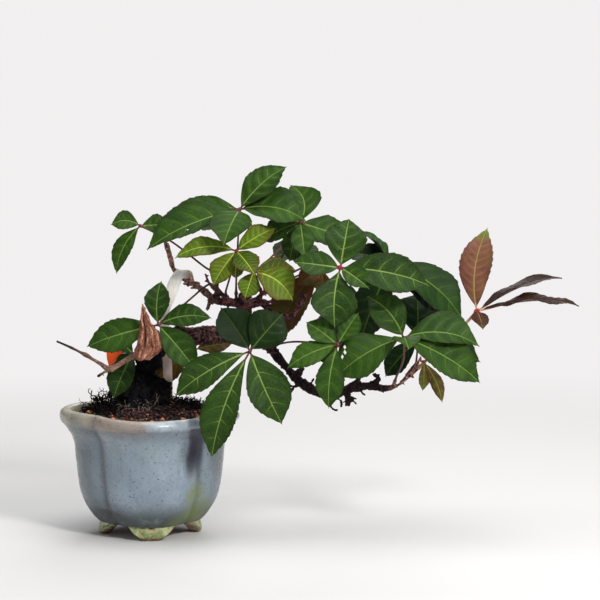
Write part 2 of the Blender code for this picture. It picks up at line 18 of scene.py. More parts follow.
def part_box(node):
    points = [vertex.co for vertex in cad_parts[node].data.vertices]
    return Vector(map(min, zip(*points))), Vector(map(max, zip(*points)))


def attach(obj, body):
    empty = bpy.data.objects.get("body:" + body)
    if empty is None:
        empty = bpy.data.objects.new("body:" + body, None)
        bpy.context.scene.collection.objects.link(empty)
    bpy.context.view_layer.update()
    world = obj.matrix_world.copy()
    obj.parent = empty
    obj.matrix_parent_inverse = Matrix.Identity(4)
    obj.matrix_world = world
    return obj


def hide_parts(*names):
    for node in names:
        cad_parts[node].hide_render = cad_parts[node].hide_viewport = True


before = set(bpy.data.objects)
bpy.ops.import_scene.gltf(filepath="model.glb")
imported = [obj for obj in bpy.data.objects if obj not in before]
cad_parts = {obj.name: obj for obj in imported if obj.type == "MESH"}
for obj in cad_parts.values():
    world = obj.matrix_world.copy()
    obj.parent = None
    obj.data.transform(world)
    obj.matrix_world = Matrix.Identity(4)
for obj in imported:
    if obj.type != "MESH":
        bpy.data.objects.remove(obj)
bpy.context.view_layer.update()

MM = 0.001
pot_low, pot_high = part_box("pot")
POT = np.array([(pot_low[0] + pot_high[0]) / 2, (pot_low[1] + pot_high[1]) / 2, 0.0])
BODY = "root"
TURN = 2 * math.pi

# ---------------------------------------------------------------- tables

# routes of the wood, as (x, y, z, radius)
TRUNK_BASE = [(-4, 0, 70, 11), (-5, 0, 82, 15), (-5, 0, 92, 16.5), (-5, 0, 101, 12), (-4, 0, 109, 9.6)]
MAIN_STEM = [(-5, 0, 100, 10), (-4, 0, 110, 9.5), (-2, -1, 120, 8.2), (5, -3, 130, 7.4), (16, -4, 137, 7),
    (32, -5, 139, 6.9), (51, -4, 140, 6.5), (69, 0, 138, 5.3), (83, 3, 132, 4.4), (92, 2, 121, 3.1),
    (98, 0, 114.5, 2.8), (104, -3, 108, 3.4), (117, -6, 100, 3), (128, -4, 96.5, 2.9), (139, 0, 101, 3.3),
    (152, 2, 103, 2.9), (165, -2, 102, 2.5), (175, -5, 105, 2), (183, -7, 112, 1.7), (187, -8, 119, 1.3)]
BRANCHES = {
    "root_right": [(-5, 0, 106, 6), (4, -3, 102, 5.6), (9, -6, 93, 5), (13, -10, 82, 3.4)],
    "root_left": [(-6, 0, 104, 6), (-17, -5, 96, 4.6), (-27, -8, 86, 3.2), (-36, -10, 76, 1.8)],
    "root_front": [(-5, -1, 103, 6), (-9, -14, 95, 5), (-13, -25, 84, 3)],
    "root_back": [(-4, 2, 103, 6), (0, 15, 95, 4.8), (6, 28, 82, 2.8)],
    "upper": [(60, -2, 138, 5.2), (66, 2, 149, 4.6), (68, 3, 159, 4.6), (58, 3, 162, 4.8), (47, 0, 164, 4.2),
        (38, -2, 171, 3.1), (31, -2, 176, 2.5), (25, -1, 178, 1.9), (20, 1, 181, 1.7), (17, 2, 186, 2.3),
        (15, 2, 193, 2.9), (12, 3, 203, 1.6), (8, 4, 210, 1.2)],
    "upper_right": [(67, 3, 159, 3.6), (76, 1, 161, 2.8), (85, -2, 160, 1.6)],
    "upper_twig": [(74, 1, 161, 2.6), (79, 2, 168, 2.2), (86, 4, 172, 1.6)],
    "upper_low": [(56, 2, 162, 2.4), (50, -6, 170, 2), (43, -9, 176, 1.6), (40, -10, 183, 1.2)],
    "upper_front": [(66, 3, 158, 2.8), (74, -5, 165, 2.2), (83, -7, 163, 1.8), (90, -8, 166, 1.2)],
    "upper_out": [(80, 0, 160, 2.4), (87, -5, 155.5, 2.2), (93, -7, 153.5, 3.2), (99, -8, 153, 2.8),
        (104, -8, 158, 2.2), (107, -8, 164, 3), (109, -8, 170, 1.4)],
    "upper_rise": [(62, 3, 161, 2.4), (66, -5, 170, 2), (72, -8, 178, 1.4)],
    "upper_drop": [(44, -1, 166, 2), (41, -6, 158, 1.4)],
    "upper_back": [(66, 4, 157, 3), (68, 16, 164, 2.4), (72, 28, 172, 1.6)],
    "left_stub": [(47, 0, 164, 2.8), (48, -3, 171, 2.2), (47, -5, 178, 1.5)],
    "fork_high": [(34, -3, 174, 2.2), (30, -8, 178, 1.9), (29, -10, 181, 1.3)],
    "fork_low": [(31, -7, 177, 1.7), (25, -10, 176, 1.2)],
    "stub_1": [(102, -3, 110, 2.2), (108, -4, 116, 1.3)],
    "stub_2": [(141, 0, 101, 2.2), (148, -2, 110, 1.4)],
    "stub_3": [(154, 2, 103, 2), (161, 1, 108, 1.5), (157, -3, 112, 1)],
    "stub_4": [(139, 0, 101, 2.2), (140, -2, 90, 1.1)],
    "end_twig": [(175, -5, 105, 1.6), (182, 2, 112, 1.3)],
}
LEFT_TWIGS = [
    [(-2, -6, 128, 2.6), (-9, -17, 126.6, 2.2), (-17, -22, 122.6, 2.1), (-25, -26, 118.4, 2.7),
     (-32, -28, 122.6, 1.6), (-38, -29, 126.4, 1.4), (-41.5, -29.4, 128.6, 2.1), (-45, -30, 130.5, 1.2),
     (-52, -30, 134, 1), (-61, -30, 138, 0.8)],
    [(-25, -26, 119, 1.3), (-33, -30, 114, 0.8)],
]

# name: (point inside the wood, spur tip), route of the petiole, hub, the way it faces, and its leaflets as
# (tip from the hub x, y, z, width, roll in degrees, sideways bend); a roll or a bend of 0 at the end is left out
LEAVES = {
    "leaf_low_front": (((72, 0, 138), (73, -9, 139)), [(76, -30, 143)], (72, -54, 134), (0.1, -0.9, 0.4),
        [(-20, 10, 29, 26), (22, 8, 25, 28), (-51, -4, -30, 22, 0, 2), (-26, -8, -72, 24, 0, 3.5),
         (22, -6, -49, 29.5, 0, 2)]),
    "leaf_center": (((84, 3, 171), (88, 2, 174)), [(108, -22, 188)], (133, -48, 190), (0, -0.85, 0.5),
        [(6, 8, 33, 28), (-31, 2, 4, 20, 0, -1), (60, -5, -11, 28, 0, -1), (-4, -14, -39, 31, 0, 2),
         (19, -12, -13, 15)]),
    "leaf_low_center": (((84, 3, 131), (89, -4, 133)), [(104, -32, 138)], (131, -60, 139), (0, -0.85, 0.5),
        [(-21, 6, 15, 17), (14, 6, 21, 15), (-34, -3, -15, 18, 0, 1.5), (-6, -3, -43, 19, 0, 2),
         (-14, 8, -11, 12)]),
    "leaf_right": (((171, -4, 104), (172, -8, 108)), [(177, -28, 126)], (176, -42, 142), (0, -0.8, 0.6),
        [(-46.5, -10, -26, 29.5, 0, 2), (-24, 4, 28, 25, 0, 3), (52, -2, -5, 26, 0, -5),
         (52, -10, -29, 27, 0, -1), (2, -28, -4, 19)]),
    "leaf_back_right": (((144, 0, 105), (149, 2, 112)), [(160, 6, 150)], (169, -8, 191), (0.1, -0.7, 0.7),
        [(-21, 8, 22, 20, 45), (50, -8, -38, 31, 0, -3), (36, 7, -36, 24), (-31, 12, 6, 20),
         (-21, 15, -57, 27)]),
    "leaf_red_tip": (((183, -7, 112), (189, -4, 117)), [(207, 4, 134), (222, -1, 148)],
        (229, -8, 157), (0.1, -0.9, 0.3),
        [(8, 6, 58, 22, 0, -6), (60, 14, 24, 19, -66), (69, -12, 7, 21, -66), (3, -14, -11, 12)]),
    "leaf_tiny": (((186, -8, 117), (188, -8.5, 121)), [(190, -10, 122)], (192, -13, 122), (0.2, -0.9, 0.3),
        [(-1, -3, -20, 8), (13, -3, -28, 9, 0, -1)]),
    "leaf_top": (((61, 3, 163), (61, 1, 169)), [(62, -6, 195)], (64, -12, 228), (0, -0.7, 0.7),
        [(-64, -10, -26, 25, 0, 0.5), (-53, 12, -7, 21, 0, 3.5), (-10, -32, -22, 29), (32, 6, 30, 24, 0, -1),
         (46, -8, -7, 30, 0, -4)]),
    "leaf_far_left": (((47, -5, 177), (46, -5, 181)), [(40, -5, 187), (16, -1, 205)],
        (-6, 2, 216), (-0.3, -0.9, 0.3),
        [(-20, -4, 1, 14, 0, 3), (-17, -4, -33, 15, 0, 2.5), (20, 4, 1, 14.5, 0, 0.5)]),
    "leaf_trunk_front": (((47, -4, 173), (45, -9, 175)), [(38, -13, 173), (25, -18, 162)],
        (8, -24, 149), (-0.1, -0.9, 0.4),
        [(2, 2, 30, 17, 0, -1.5), (37, -2, 5, 16, 0, -3), (27, -10, -31, 20, 0, -0.5), (-50, 2, -15, 23)]),
    "leaf_low_left": (((-2, -1, 123), (-9, 0, 125)), [], (-11, -5, 127), (-0.2, -0.9, 0.4),
        [(-13, -13, -30, 19), (-13, 2, -9, 8), (-7, 14, 4, 9)]),
    "leaf_young_left": (((54, 2, 163), (54, -4, 168)), [(58, -16, 184)], (62, -24, 200), (0, -0.8, 0.6),
        [(-42, -5, -4, 15, 0, 4), (-16, -8, -23, 17), (13, -16, -15, 18), (27, 4, 16, 16), (-1, 6, -20, 11)]),
    "leaf_young_mid": (((79, 2, 168), (78, -3, 172)), [(76, -16, 180)], (74, -30, 186), (0.1, -0.85, 0.5),
        [(-6, -4, -18, 15), (27, -8, -19, 24, 0, -4), (29, 8, 1, 13), (25, 10, 4, 13)]),
    "leaf_crown": (((84, 4, 171), (86, 1, 177)), [(95, -4, 198)], (106, -12, 219), (0, -0.75, 0.65),
        [(-26, 10, -13, 18), (-8, 6, -28, 17), (3, -20, -23, 16), (37, -1, -12, 25, 0, 2),
         (-7, 10, 26, 24, 0, 6)]),
    "leaf_maroon": (((85, 4, 172), (90, 8, 173)), [(104, 14, 180)], (121, 8, 185), (-0.2, -0.9, 0.3),
        [(-31, 10, -50, 25.5, 0, 4), (-17, -8, -10, 14), (3, 8, -17, 14)]),
    "leaf_olive": (((32, -2, 137), (32, 5, 136)), [(32, 12, 133)], (31, 22, 127), (0.1, -0.8, 0.6),
        [(-30, 4, -22, 24), (26, 4, 4, 16), (-6, 14, 14, 14)]),
    "leaf_behind_right": (((181, 1, 111), (185, 4, 116)), [(188, 3, 126)], (188, -4, 137), (0, -0.8, 0.6),
        [(-23, 4, -27, 18), (45, 4, -16, 21), (1, 21, 31, 29)]),
    "leaf_back_upper": (((71, 26, 170), (73, 32, 174)), [(80, 42, 186)], (99, 50, 205), (0, 0.75, 0.65),
        [(-20, 8, 6, 15), (-8, 18, -20, 18), (18, 20, -24, 20), (34, 4, 0, 18), (4, 4, 21, 16)]),
    "leaf_back_low": (((128, -3, 98), (129, 4, 102)), [(133, 18, 122)], (138, 34, 150), (0.1, 0.8, 0.6),
        [(-22, 10, -13, 15), (-10, 14, -26, 20), (18, 14, -24, 20), (30, 6, 2, 18), (4, 2, 22, 15)]),
    "leaf_back_left": (((9, 4, 207), (8, 9, 210)), [(14, 20, 215)], (34, 30, 216), (-0.2, 0.8, 0.6),
        [(-22, 4, -2, 13), (-10, 14, -3, 14), (15, 14, -3, 15), (24, 4, 3, 15)]),
}
# by leaf and leaflet: how much its base is a wedge, and how much wider one half is than the other
FORMS = {"leaf_low_front": {2: (1.2, 0.08), 3: (1.25, 0.16), 4: (0.9, -0.14)},
    "leaf_right": {0: (1.15, 0), 2: (0.9, -0.25)}, "leaf_center": {3: (1.4, 0)}, "leaf_top": {0: (0.85, 0.32)}}
# holes eaten into a leaflet, as (part of its length, part of its half width)
HOLES = {"leaf_right": {0: [(0.72, 0.8), (0.75, 0.62), (0.79, 0.62), (0.86, 0.62)]},
    "leaf_top": {0: [(0.55, -0.45)]}}
# how light a leaflet's green is, where that isn't left to chance; values well below 0 are painted shade for leaflets
# that lie in shade
LEAFLET_TONES_AND_SHADE = {"leaf_low_front": {0: -2.3, 1: -1.8, 2: 0.3, 4: 0}, "leaf_low_center": {2: 1.5},
    "leaf_trunk_front": {1: -0.3, 0: -0.2}, "leaf_behind_right": {0: -1, 2: -1.2},
    "leaf_back_right": {2: -1, 4: -1.2, 0: 1, 3: -1.2}, "leaf_center": {4: 0.9, 3: 0, 2: 0.1},
    "leaf_top": {2: 0.2}, "leaf_tiny": {0: 1, 1: -0.4}, "leaf_red_tip": {1: -2.4, 2: -2.3, 3: -1.4},
    "leaf_maroon": {1: 1.2, 0: 0.9}, "leaf_low_left": {0: -1.2, 1: -1.3}, "leaf_young_mid": {2: -1},
    "leaf_young_left": {2: -0.6}}
# the label strip, as (x, y, z, width, turn in degrees)
LABEL = [(12, 14, 74, 6.6, 0), (12, 14, 92, 6.6, 0), (12, 14, 106, 6.6, 0), (11.6, 13.5, 121, 6.6, 0),
    (11.2, 12, 134, 6.8, 5), (10.5, 6, 147, 7, 10), (12.3, -5, 158, 6, 8), (15.2, -7, 166, 6.6, 0),
    (17, -6.5, 173, 8.5, 0), (19.5, -6.5, 179, 8, 10), (23.5, -2.5, 184.5, 6.6, 20), (26.5, 4.5, 182.5, 7, 10),
    (28, 7.5, 177, 6.6, 0)]
# the pot turned, as (height, radius)
POT_OUTSIDE = [(16, 7.5), (12.5, 7.3), (9, 7.5), (9, 20), (9, 33.5), (11, 38), (18, 43.4), (27, 47.9),
    (39, 50.5), (52, 51.9), (63, 52.6), (69, 54), (74, 56.9), (77, 59), (78.6, 60.2), (79.8, 61.6),
    (81.6, 62.5), (84, 62.9), (86.6, 62.4), (88.4, 60.6)]
POT_INSIDE = [(89, 58), (88, 55.6), (85, 54.6), (79, 52.6), (70, 49), (60, 47.2), (45, 45.6), (30, 42.4),
    (20, 36.5), (16, 30), (16, 18)]
# knobs on the trunk, as (x, y, z, radius)
BASE_LUMPS = [(6.5, -4, 103, 5.6), (9, -2, 101, 5.6), (8.5, -6, 96, 6), (8, -3, 100, 6.6), (5, -10, 92, 5.4),
    (-13, -8, 94, 5.2), (-12, -4, 99, 6), (2, -7, 103, 4.6), (-4, -13, 91, 4.8), (8, 5, 98, 6.4),
    (-13, 4, 97, 6), (-4, -9, 100, 5)]
# broken twigs low on the stem, as (x, y, z, dx, dz, radius)
LOW_STUBS = [(104, -4, 106, -5, -6, 1), (106, -5, 104, -7, 0, 0.8), (120, -6, 98, 1, 6, 1),
    (112, -5, 103, 3, 6, 0.9), (137, -2, 100, 5, -7, 1), (139, -4, 97, 6, -2, 0.8), (138, -3, 98, 0, -8, 0.9),
    (141, -3, 96, 4, -5, 0.7), (147, 1, 102, 4, -5, 0.8)]
# the tag seen from the front, as (x, z)
TAG_OUTLINE = [(-32.2, 134), (-31.4, 121), (-27.6, 106), (-26.6, 90), (-26.2, 76), (-25.6, 76), (-24.8, 84),
    (-19.9, 120), (-19.8, 134)]
# where the dry leaf springs: inside the wood, tip
DRY_SPUR = ((-1, -3, 122), (-1, -12, 128))
POT_TURN = math.radians(5.5)
TAG_DEPTH = 16


# ---------------------------------------------------------------- small tools

def srgb(red, green, blue):
    """The linear colour of a display colour, each part 0 to 255."""
    def one(value):
        value /= 255
        return value / 12.92 if value <= 0.04045 else ((value + 0.055) / 1.055) ** 2.4
    return (one(red), one(green), one(blue), 1.0)


def smooth(low, high, value):
    """0 up to low, 1 from high, eased between them."""
    t = np.clip((np.asarray(value, float) - low) / (high - low), 0, 1)
    return t * t * (3 - 2 * t)


def unit(vector):
    vector = np.asarray(vector, float)
    return vector / np.linalg.norm(vector)


def units(vectors):
    return vectors / np.maximum(np.linalg.norm(vectors, axis=1, keepdims=True), 1e-9)


def sampled(points, scale, *fractal):
    """Noise at each point; three more values make it fractal."""
    at = [Vector(point * scale) for point in points]
    return np.array([noise.fractal(p, *fractal) if fractal else noise.noise(p) for p in at])


def smooth_route(stations, step):
    """Points about one step apart on a Catmull-Rom curve through the stations, later columns blended too."""
    stations = [np.asarray(s, float) for s in stations]
    ends = [stations[0], *stations, stations[-1]]
    route = []
    for a, b, c, d in zip(ends, ends[1:], ends[2:], ends[3:]):
        count = max(1, round(np.linalg.norm(c[:3] - b[:3]) / step))
        for t in np.arange(count) / count:
            route.append(0.5 * (2 * b + (c - a) * t + (2 * a - 5 * b + 4 * c - d) * t * t
                                + (3 * b - a - 3 * c + d) * t**3))
    return np.array([*route, stations[-1]])


def travelled(centres):
    """How far along its route each point is."""
    return np.concatenate([[0], np.cumsum(np.linalg.norm(np.diff(centres, axis=0), axis=1))])


def quads(rows, count, closed=False):
    """Faces between rings of count points; closed joins the last ring to the first."""
    return [(i * count + k, i * count + (k + 1) % count, (i + 1) % rows * count + (k + 1) % count,
             (i + 1) % rows * count + k) for i in range(rows if closed else rows - 1) for k in range(count)]


def capped(rows, count):
    """Faces between rings, and one face over each end."""
    last = (rows - 1) * count
    return [*quads(rows, count), tuple(range(count - 1, -1, -1)), tuple(range(last, last + count))]


class Shape:
    """Points, faces, material numbers and per-point values of one piece while it is built."""

    VALUES = ("u", "edge", "rib", "vein", "tone")

    def __init__(self):
        self.points, self.faces, self.slots, self.count = [], [], [], 0
        self.values = {name: [] for name in self.VALUES}

    def add(self, points, faces, slot=0, **values):
        points = np.asarray(points, float).reshape(-1, 3)
        self.points.append(points)
        self.faces.extend([tuple(int(i) + self.count for i in face) for face in faces])
        self.slots.extend([slot] * len(faces))
        for name in self.VALUES:
            self.values[name].append(np.broadcast_to(np.asarray(values.get(name, 0.0), float), (len(points),)))
        self.count += len(points)

    def mesh(self, name):
        mesh = bpy.data.meshes.new(name)
        points = np.concatenate(self.points) * MM + POT
        mesh.from_pydata(points.tolist(), [], self.faces)
        mesh.polygons.foreach_set("material_index", self.slots)
        mesh.polygons.foreach_set("use_smooth", [True] * len(self.faces))
        for key, parts in self.values.items():
            layer = mesh.attributes.new(key, "FLOAT", "POINT")
            layer.data.foreach_set("value", np.concatenate(parts).astype(np.float32))
        mesh.validate()
        mesh.update()
        return mesh


def placed(name, data):
    """An object of this name on the scene."""
    obj = bpy.data.objects.new(name, data)
    bpy.context.scene.collection.objects.link(obj)
    return obj


def piece(name, shape, materials, slot, *nodes):
    """An object that rides with the plant and stands for the CAD nodes named."""
    obj = placed(name, shape.mesh(name))
    for material in materials:
        obj.data.materials.append(material)
    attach(obj, BODY)
    if nodes:
        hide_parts(*nodes)


def frames_along(centres):
    """Unit tangents and two unit normals at each centre, carried along the route without twisting."""
    tangents = units(np.gradient(centres, axis=0))
    guess = np.array([0.0, 0.0, 1.0]) if abs(tangents[0][2]) < 0.9 else np.array([1.0, 0.0, 0.0])
    first = unit(np.cross(tangents[0], guess))
    normals = []
    for tangent in tangents:
        first = unit(first - tangent * first.dot(tangent))
        normals.append(first)
    return tangents, np.array(normals), np.cross(tangents, normals)


ROUND_END = [(-0.75, 0.6), (-0.35, 0.92)]  # how far a tube's last rings stand out, and their part of its radius


def tube(shape, route, sides, slot=0, rough=0.0, **values):
    """A closed tube along (x, y, z, radius) stations, with round ends."""
    route = np.asarray(route, float)
    centres, radii = route[:, :3], route[:, 3]
    tangents, one, two = frames_along(centres)
    rings = list(zip(centres, radii, one, two))
    for end, sign in ((0, 1), (-1, -1)):
        made = [(centres[end] + sign * tangents[end] * back * radii[end] * 0.9, radii[end] * part, one[end], two[end])
                for back, part in ROUND_END[::sign]]
        rings = made + rings if end == 0 else rings + made
    points = []
    for centre, radius, a, b in rings:
        for turn in np.linspace(0, TURN, sides, endpoint=False):
            out = a * math.cos(turn) + b * math.sin(turn)
            swell = 1 + rough * noise.noise(Vector((centre + out * radius) * 0.35))
            points.append(centre + out * radius * swell)
    steps = travelled(centres)
    steps = np.concatenate([[0, 0], steps, [steps[-1], steps[-1]]]) / max(steps[-1], 1e-6)
    values.setdefault("u", np.repeat(steps, sides))
    shape.add(points, capped(len(rings), sides), slot, **values)


# ---------------------------------------------------------------- materials

class Graph:
    """A material while it is built: short calls for its nodes, and the colour that is painted so far."""

    def __init__(self, name):
        self.material = bpy.data.materials.new(name)
        self.material.use_nodes = True
        self.tree = self.material.node_tree
        self.shader = self.tree.nodes["Principled BSDF"]
        self.place = self.node("TexCoord").outputs["Object"]

    def node(self, kind, **settings):
        made = self.tree.nodes.new("ShaderNode" + kind)
        for key, value in settings.items():
            setattr(made, key, value)
        return made

    def put(self, socket, value):
        """Links a socket, or sets it: three numbers are a display colour."""
        if isinstance(value, bpy.types.NodeSocket):
            self.tree.links.new(value, socket)
        else:
            socket.default_value = srgb(*value) if isinstance(value, tuple) and len(value) == 3 else value

    def value(self, name):
        return self.node("Attribute", attribute_name=name).outputs["Fac"]

    def math(self, operation, a, b=0.0, clamp=False):
        made = self.node("Math", operation=operation, use_clamp=clamp)
        self.put(made.inputs[0], a)
        self.put(made.inputs[1], b)
        return made.outputs[0]

    def times(self, a, b):
        return self.math("MULTIPLY", a, b)

    def plus(self, a, b, clamp=False):
        return self.math("ADD", a, b, clamp)

    def most(self, a, b):
        return self.math("MAXIMUM", a, b)

    def wave(self, count):
        """1 at each whole number, 0 half-way between two."""
        return self.times(self.math("ABSOLUTE", self.math("SUBTRACT", self.math("FRACT", count), 0.5)), 2)

    def ramp(self, value, low, high, start=0, end=1, kind="SMOOTHSTEP"):
        made = self.node("MapRange", interpolation_type=kind)
        for socket, given in zip(made.inputs, (value, low, high, start, end)):
            self.put(socket, given)
        return made.outputs[0]

    def mix(self, part, a, b):
        made = self.node("Mix", data_type="RGBA", clamp_factor=True)
        for socket, given in zip((made.inputs[0], made.inputs[6], made.inputs[7]), (part, a, b)):
            self.put(socket, given)
        return made.outputs[2]

    def paint(self, part, colour, strength=None):
        """Lays a colour over what is painted so far."""
        self.colour = self.mix(part if strength is None else self.times(part, strength), self.colour, colour)

    def axis(self, letter):
        made = self.node("SeparateXYZ")
        self.put(made.inputs[0], self.place)
        return made.outputs[letter]

    def noise(self, scale, detail=3, rough=0.5, stretch=None):
        """Noise; stretch scales the place along each axis, for patterns that run along one of them."""
        made = self.node("TexNoise")
        place = self.place
        if stretch:
            mapping = self.node("Mapping")
            self.put(mapping.inputs["Vector"], place)
            mapping.inputs["Scale"].default_value = stretch
            place = mapping.outputs[0]
        for key, given in (("Vector", place), ("Scale", scale), ("Detail", detail), ("Roughness", rough)):
            self.put(made.inputs[key], given)
        return made.outputs["Fac"]

    def cloud(self, scale, detail, rough, low, high, start=0, end=1):
        """Noise with its range from low to high spread over start to end."""
        return self.ramp(self.noise(scale, detail, rough), low, high, start, end)

    def cells(self, scale, inner, outer, feature="F1"):
        """1 near the middle of each cell, or with DISTANCE_TO_EDGE along the net between them."""
        made = self.node("TexVoronoi", feature=feature)
        self.put(made.inputs["Vector"], self.place)
        self.put(made.inputs["Scale"], scale)
        return self.ramp(made.outputs["Distance"], inner, outer, 1, 0)

    def net(self, scale, width):
        return self.cells(scale, 0, width, "DISTANCE_TO_EDGE")

    def near(self, x, y, z, radius):
        """1 at a point in the pot's frame, in mm, falling to 0 at the radius."""
        made = self.node("VectorMath", operation="DISTANCE")
        self.put(made.inputs[0], self.place)
        made.inputs[1].default_value = (POT[0] + x * MM, POT[1] + y * MM, z * MM)
        return self.ramp(made.outputs["Value"], 0, radius * MM, 1, 0)

    def bump(self, height, distance, strength=1.0, after=None):
        made = self.node("Bump")
        for key, given in (("Height", height), ("Distance", distance * MM), ("Strength", strength)):
            self.put(made.inputs[key], given)
        if after:
            self.put(made.inputs["Normal"], after)
        return made.outputs["Normal"]

    def finish(self, roughness, normal=None, **settings):
        settings.update(Base_Color=self.colour, Roughness=roughness)
        if normal:
            settings["Normal"] = normal
        for key, value in settings.items():
            self.put(self.shader.inputs[key.replace("_", " ")], value)
        return self.material


def scaled(colour, *parts):
    """A display colour with each linear part scaled."""
    return (*(value * part for value, part in zip(srgb(*colour), parts)), 1)


# ---------------------------------------------------------------- leaf materials

def leaf_top(name, dark, light, rib, margin, side_ribs, margin_from=0.965, flush=None, flushed=0.0, stem=None,
             tip=None, banded=0.42):
    """The upper side of a blade: arching veins, paler green beside them, a coloured margin, a faint network."""
    g = Graph(name)
    u, edge, tone = g.value("u"), g.value("edge"), g.value("tone")
    across = g.math("ABSOLUTE", g.value("rib"))
    middle = g.ramp(across, g.ramp(u, 0, 1, 0.42, 0.06, "LINEAR"), g.ramp(u, 0, 1, 0.86, 0.34, "LINEAR"), 1, 0)
    phase = g.wave(g.plus(g.value("vein"), g.times(g.noise(150, 2), 0.22)))
    fading = g.times(g.ramp(edge, 0.3, 0.97, 1, 0), g.times(g.ramp(u, 0.08, 0.16), g.ramp(u, 0.78, 0.94, 1, 0)))
    fading = g.times(fading, g.cloud(95, 2, 0.5, 0.36, 0.64, 0.4))
    sides = g.times(g.ramp(phase, g.ramp(across, 0, 9, 0.895, 0.958, "LINEAR"), 0.988), fading)
    beside = g.times(g.ramp(phase, 0.25, 1), g.ramp(edge, 0.45, 1, 1, 0.25))
    third = g.times(g.net(210, 0.07), fading)
    web = g.net(480, 0.1)
    clouds = g.plus(g.times(g.cloud(60, 4, 0.6, 0.28, 0.72), 0.6), g.times(tone, 0.45), True)
    g.colour = g.mix(clouds, dark, light)
    g.paint(g.ramp(phase, 0.55, 0), dark, banded)
    g.paint(g.most(beside, g.ramp(across, 0.3, 3.8, 1, 0)), light, 0.34)
    g.paint(g.ramp(edge, 0.7, 0.95), dark, 0.35)
    g.paint(g.cloud(900, 2, 0.6, 0.35, 0.75), dark, 0.16)
    if flush:
        g.paint(g.cloud(45, 3, 0.5, 0.42, 0.62), flush, flushed)
    if tip:
        g.paint(g.ramp(g.plus(u, g.times(g.noise(80), 0.12)), 0.86, 1), tip)
    g.paint(g.ramp(edge, margin_from, 1), margin)
    g.paint(g.most(web, third), rib, 0.09)
    g.paint(sides, rib, side_ribs)
    g.paint(middle, g.mix(g.ramp(u, 0.13, 0.05), rib, stem) if stem else rib, 0.92)
    # painted shade: leaflets with a tone below -0.6 darken towards black-green, for leaves that lie in shade
    g.paint(g.ramp(tone, -0.6, -2.5, 0, 1, "LINEAR"), scaled(dark, 0.4, 0.5, 0.34))
    depth = g.times(g.most(middle, g.times(sides, 0.6)), -1)
    normal = g.bump(g.plus(depth, g.times(third, -0.35)), 0.26, 0.8)
    normal = g.bump(g.plus(g.times(web, -0.5), g.noise(1100, 2)), 0.018, 0.5, normal)
    return g.finish(g.plus(g.times(g.noise(180, 2), 0.18), 0.42), normal, Specular_IOR_Level=0.1)


def leaf_under(name, body, rib):
    """The underside: paler and duller, with the veins standing out."""
    g = Graph(name)
    fading = g.times(g.ramp(g.value("edge"), 0.7, 1, 1, 0), g.ramp(g.value("u"), 0.05, 0.14))
    sides = g.times(g.ramp(g.wave(g.value("vein")), 0.86, 0.97), fading)
    web = g.net(430, 0.14)
    g.colour = g.mix(g.noise(110, 3, 0.6), scaled(body, 0.6, 0.66, 0.6), body)
    g.paint(web, rib, 0.25)
    g.paint(sides, rib, 0.8)
    return g.finish(0.62, g.bump(g.plus(sides, g.times(web, 0.25)), 0.25, 0.9))


def stalk(name, base, end, spots, turn=0.25):
    """A petiole: its colour runs from its base to the hub, with faint darker spots."""
    g = Graph(name)
    g.colour = g.mix(g.ramp(g.value("u"), turn, 0.96), base, end)
    g.paint(g.cloud(700, 3, 0.6, 0.5, 0.75), spots)
    return g.finish(g.cloud(500, 3, 0.5, 0.2, 0.8, 0.34, 0.5), g.bump(g.noise(1300, 2), 0.08, 0.6))


GREEN_RIB, CRIMSON = (112, 138, 70), (120, 36, 50)
STALK_RED = stalk("stalk_red", (66, 30, 28), (100, 30, 36), (48, 22, 20))
STALK_CRIMSON = stalk("stalk_crimson", (80, 30, 36), (146, 28, 54), (66, 22, 28))
STALK_TIP = stalk("stalk_tip", (204, 160, 126), (158, 36, 52), (172, 104, 84), 0.8)
STALK_PALE = stalk("stalk_pale", (150, 104, 78), (150, 62, 60), (112, 66, 52))
UNDER_GREEN = leaf_under("leaf_under", (58, 82, 44), (104, 124, 72))
# painted shade: a darker underside for leaves that lie in shade
UNDER_SHADED = leaf_under("leaf_under_shaded", (30, 48, 28), (56, 74, 44))
UNDER_BRONZE = leaf_under("leaf_under_bronze", (80, 46, 40), (124, 98, 60))
LOOKS = {
    "green": (leaf_top("leaf_green", (24, 48, 13), (54, 87, 21), GREEN_RIB, (44, 34, 16), 0.55, stem=(96, 70, 44)),
              UNDER_GREEN, STALK_RED),
    "rich": (leaf_top("leaf_rich", (20, 43, 12), (48, 78, 22), (128, 152, 80), (44, 32, 18), 0.75, stem=CRIMSON),
             UNDER_GREEN, STALK_CRIMSON),
    "lower": (leaf_top("leaf_lower", (20, 43, 12), (48, 78, 22), (124, 148, 76), (44, 32, 18), 0.7,
                       stem=(112, 58, 36)), UNDER_GREEN, STALK_RED),
    # painted shade: a darker copy of the green for leaves that lie in shade behind the others
    "deep": (leaf_top("leaf_shaded", (12, 34, 12), (36, 68, 18), (96, 122, 52), (30, 26, 16), 0.45),
             UNDER_SHADED, STALK_RED),
    "young": (leaf_top("leaf_young", (48, 74, 16), (98, 126, 30), (170, 186, 76), (96, 36, 26), 0.9, 0.88,
                       (88, 66, 30), 0.35, CRIMSON), UNDER_GREEN, STALK_CRIMSON),
    "bronze": (leaf_top("leaf_bronze", (66, 32, 32), (128, 80, 66), (154, 138, 80), (50, 30, 22), 0.75, 0.965,
                        (112, 88, 50), 0.35, tip=(92, 104, 40), banded=0.16), UNDER_BRONZE, STALK_TIP),
    "maroon": (leaf_top("leaf_maroon", (46, 22, 16), (116, 66, 38), (110, 84, 44), (62, 26, 18), 0.5, 0.965,
                        (72, 74, 30), 0.75), UNDER_BRONZE, STALK_RED),
    "olive": (leaf_top("leaf_olive", (60, 50, 14), (108, 88, 26), (124, 116, 52), (66, 42, 22), 0.5, 0.965,
                       (104, 62, 28), 0.5), UNDER_GREEN, STALK_PALE),
    "tiny": (leaf_top("leaf_tiny_top", (84, 66, 34), (128, 138, 52), (156, 156, 90), (110, 62, 46), 0.3, 0.75,
                      (112, 84, 52), 0.5), UNDER_GREEN, STALK_PALE),
}
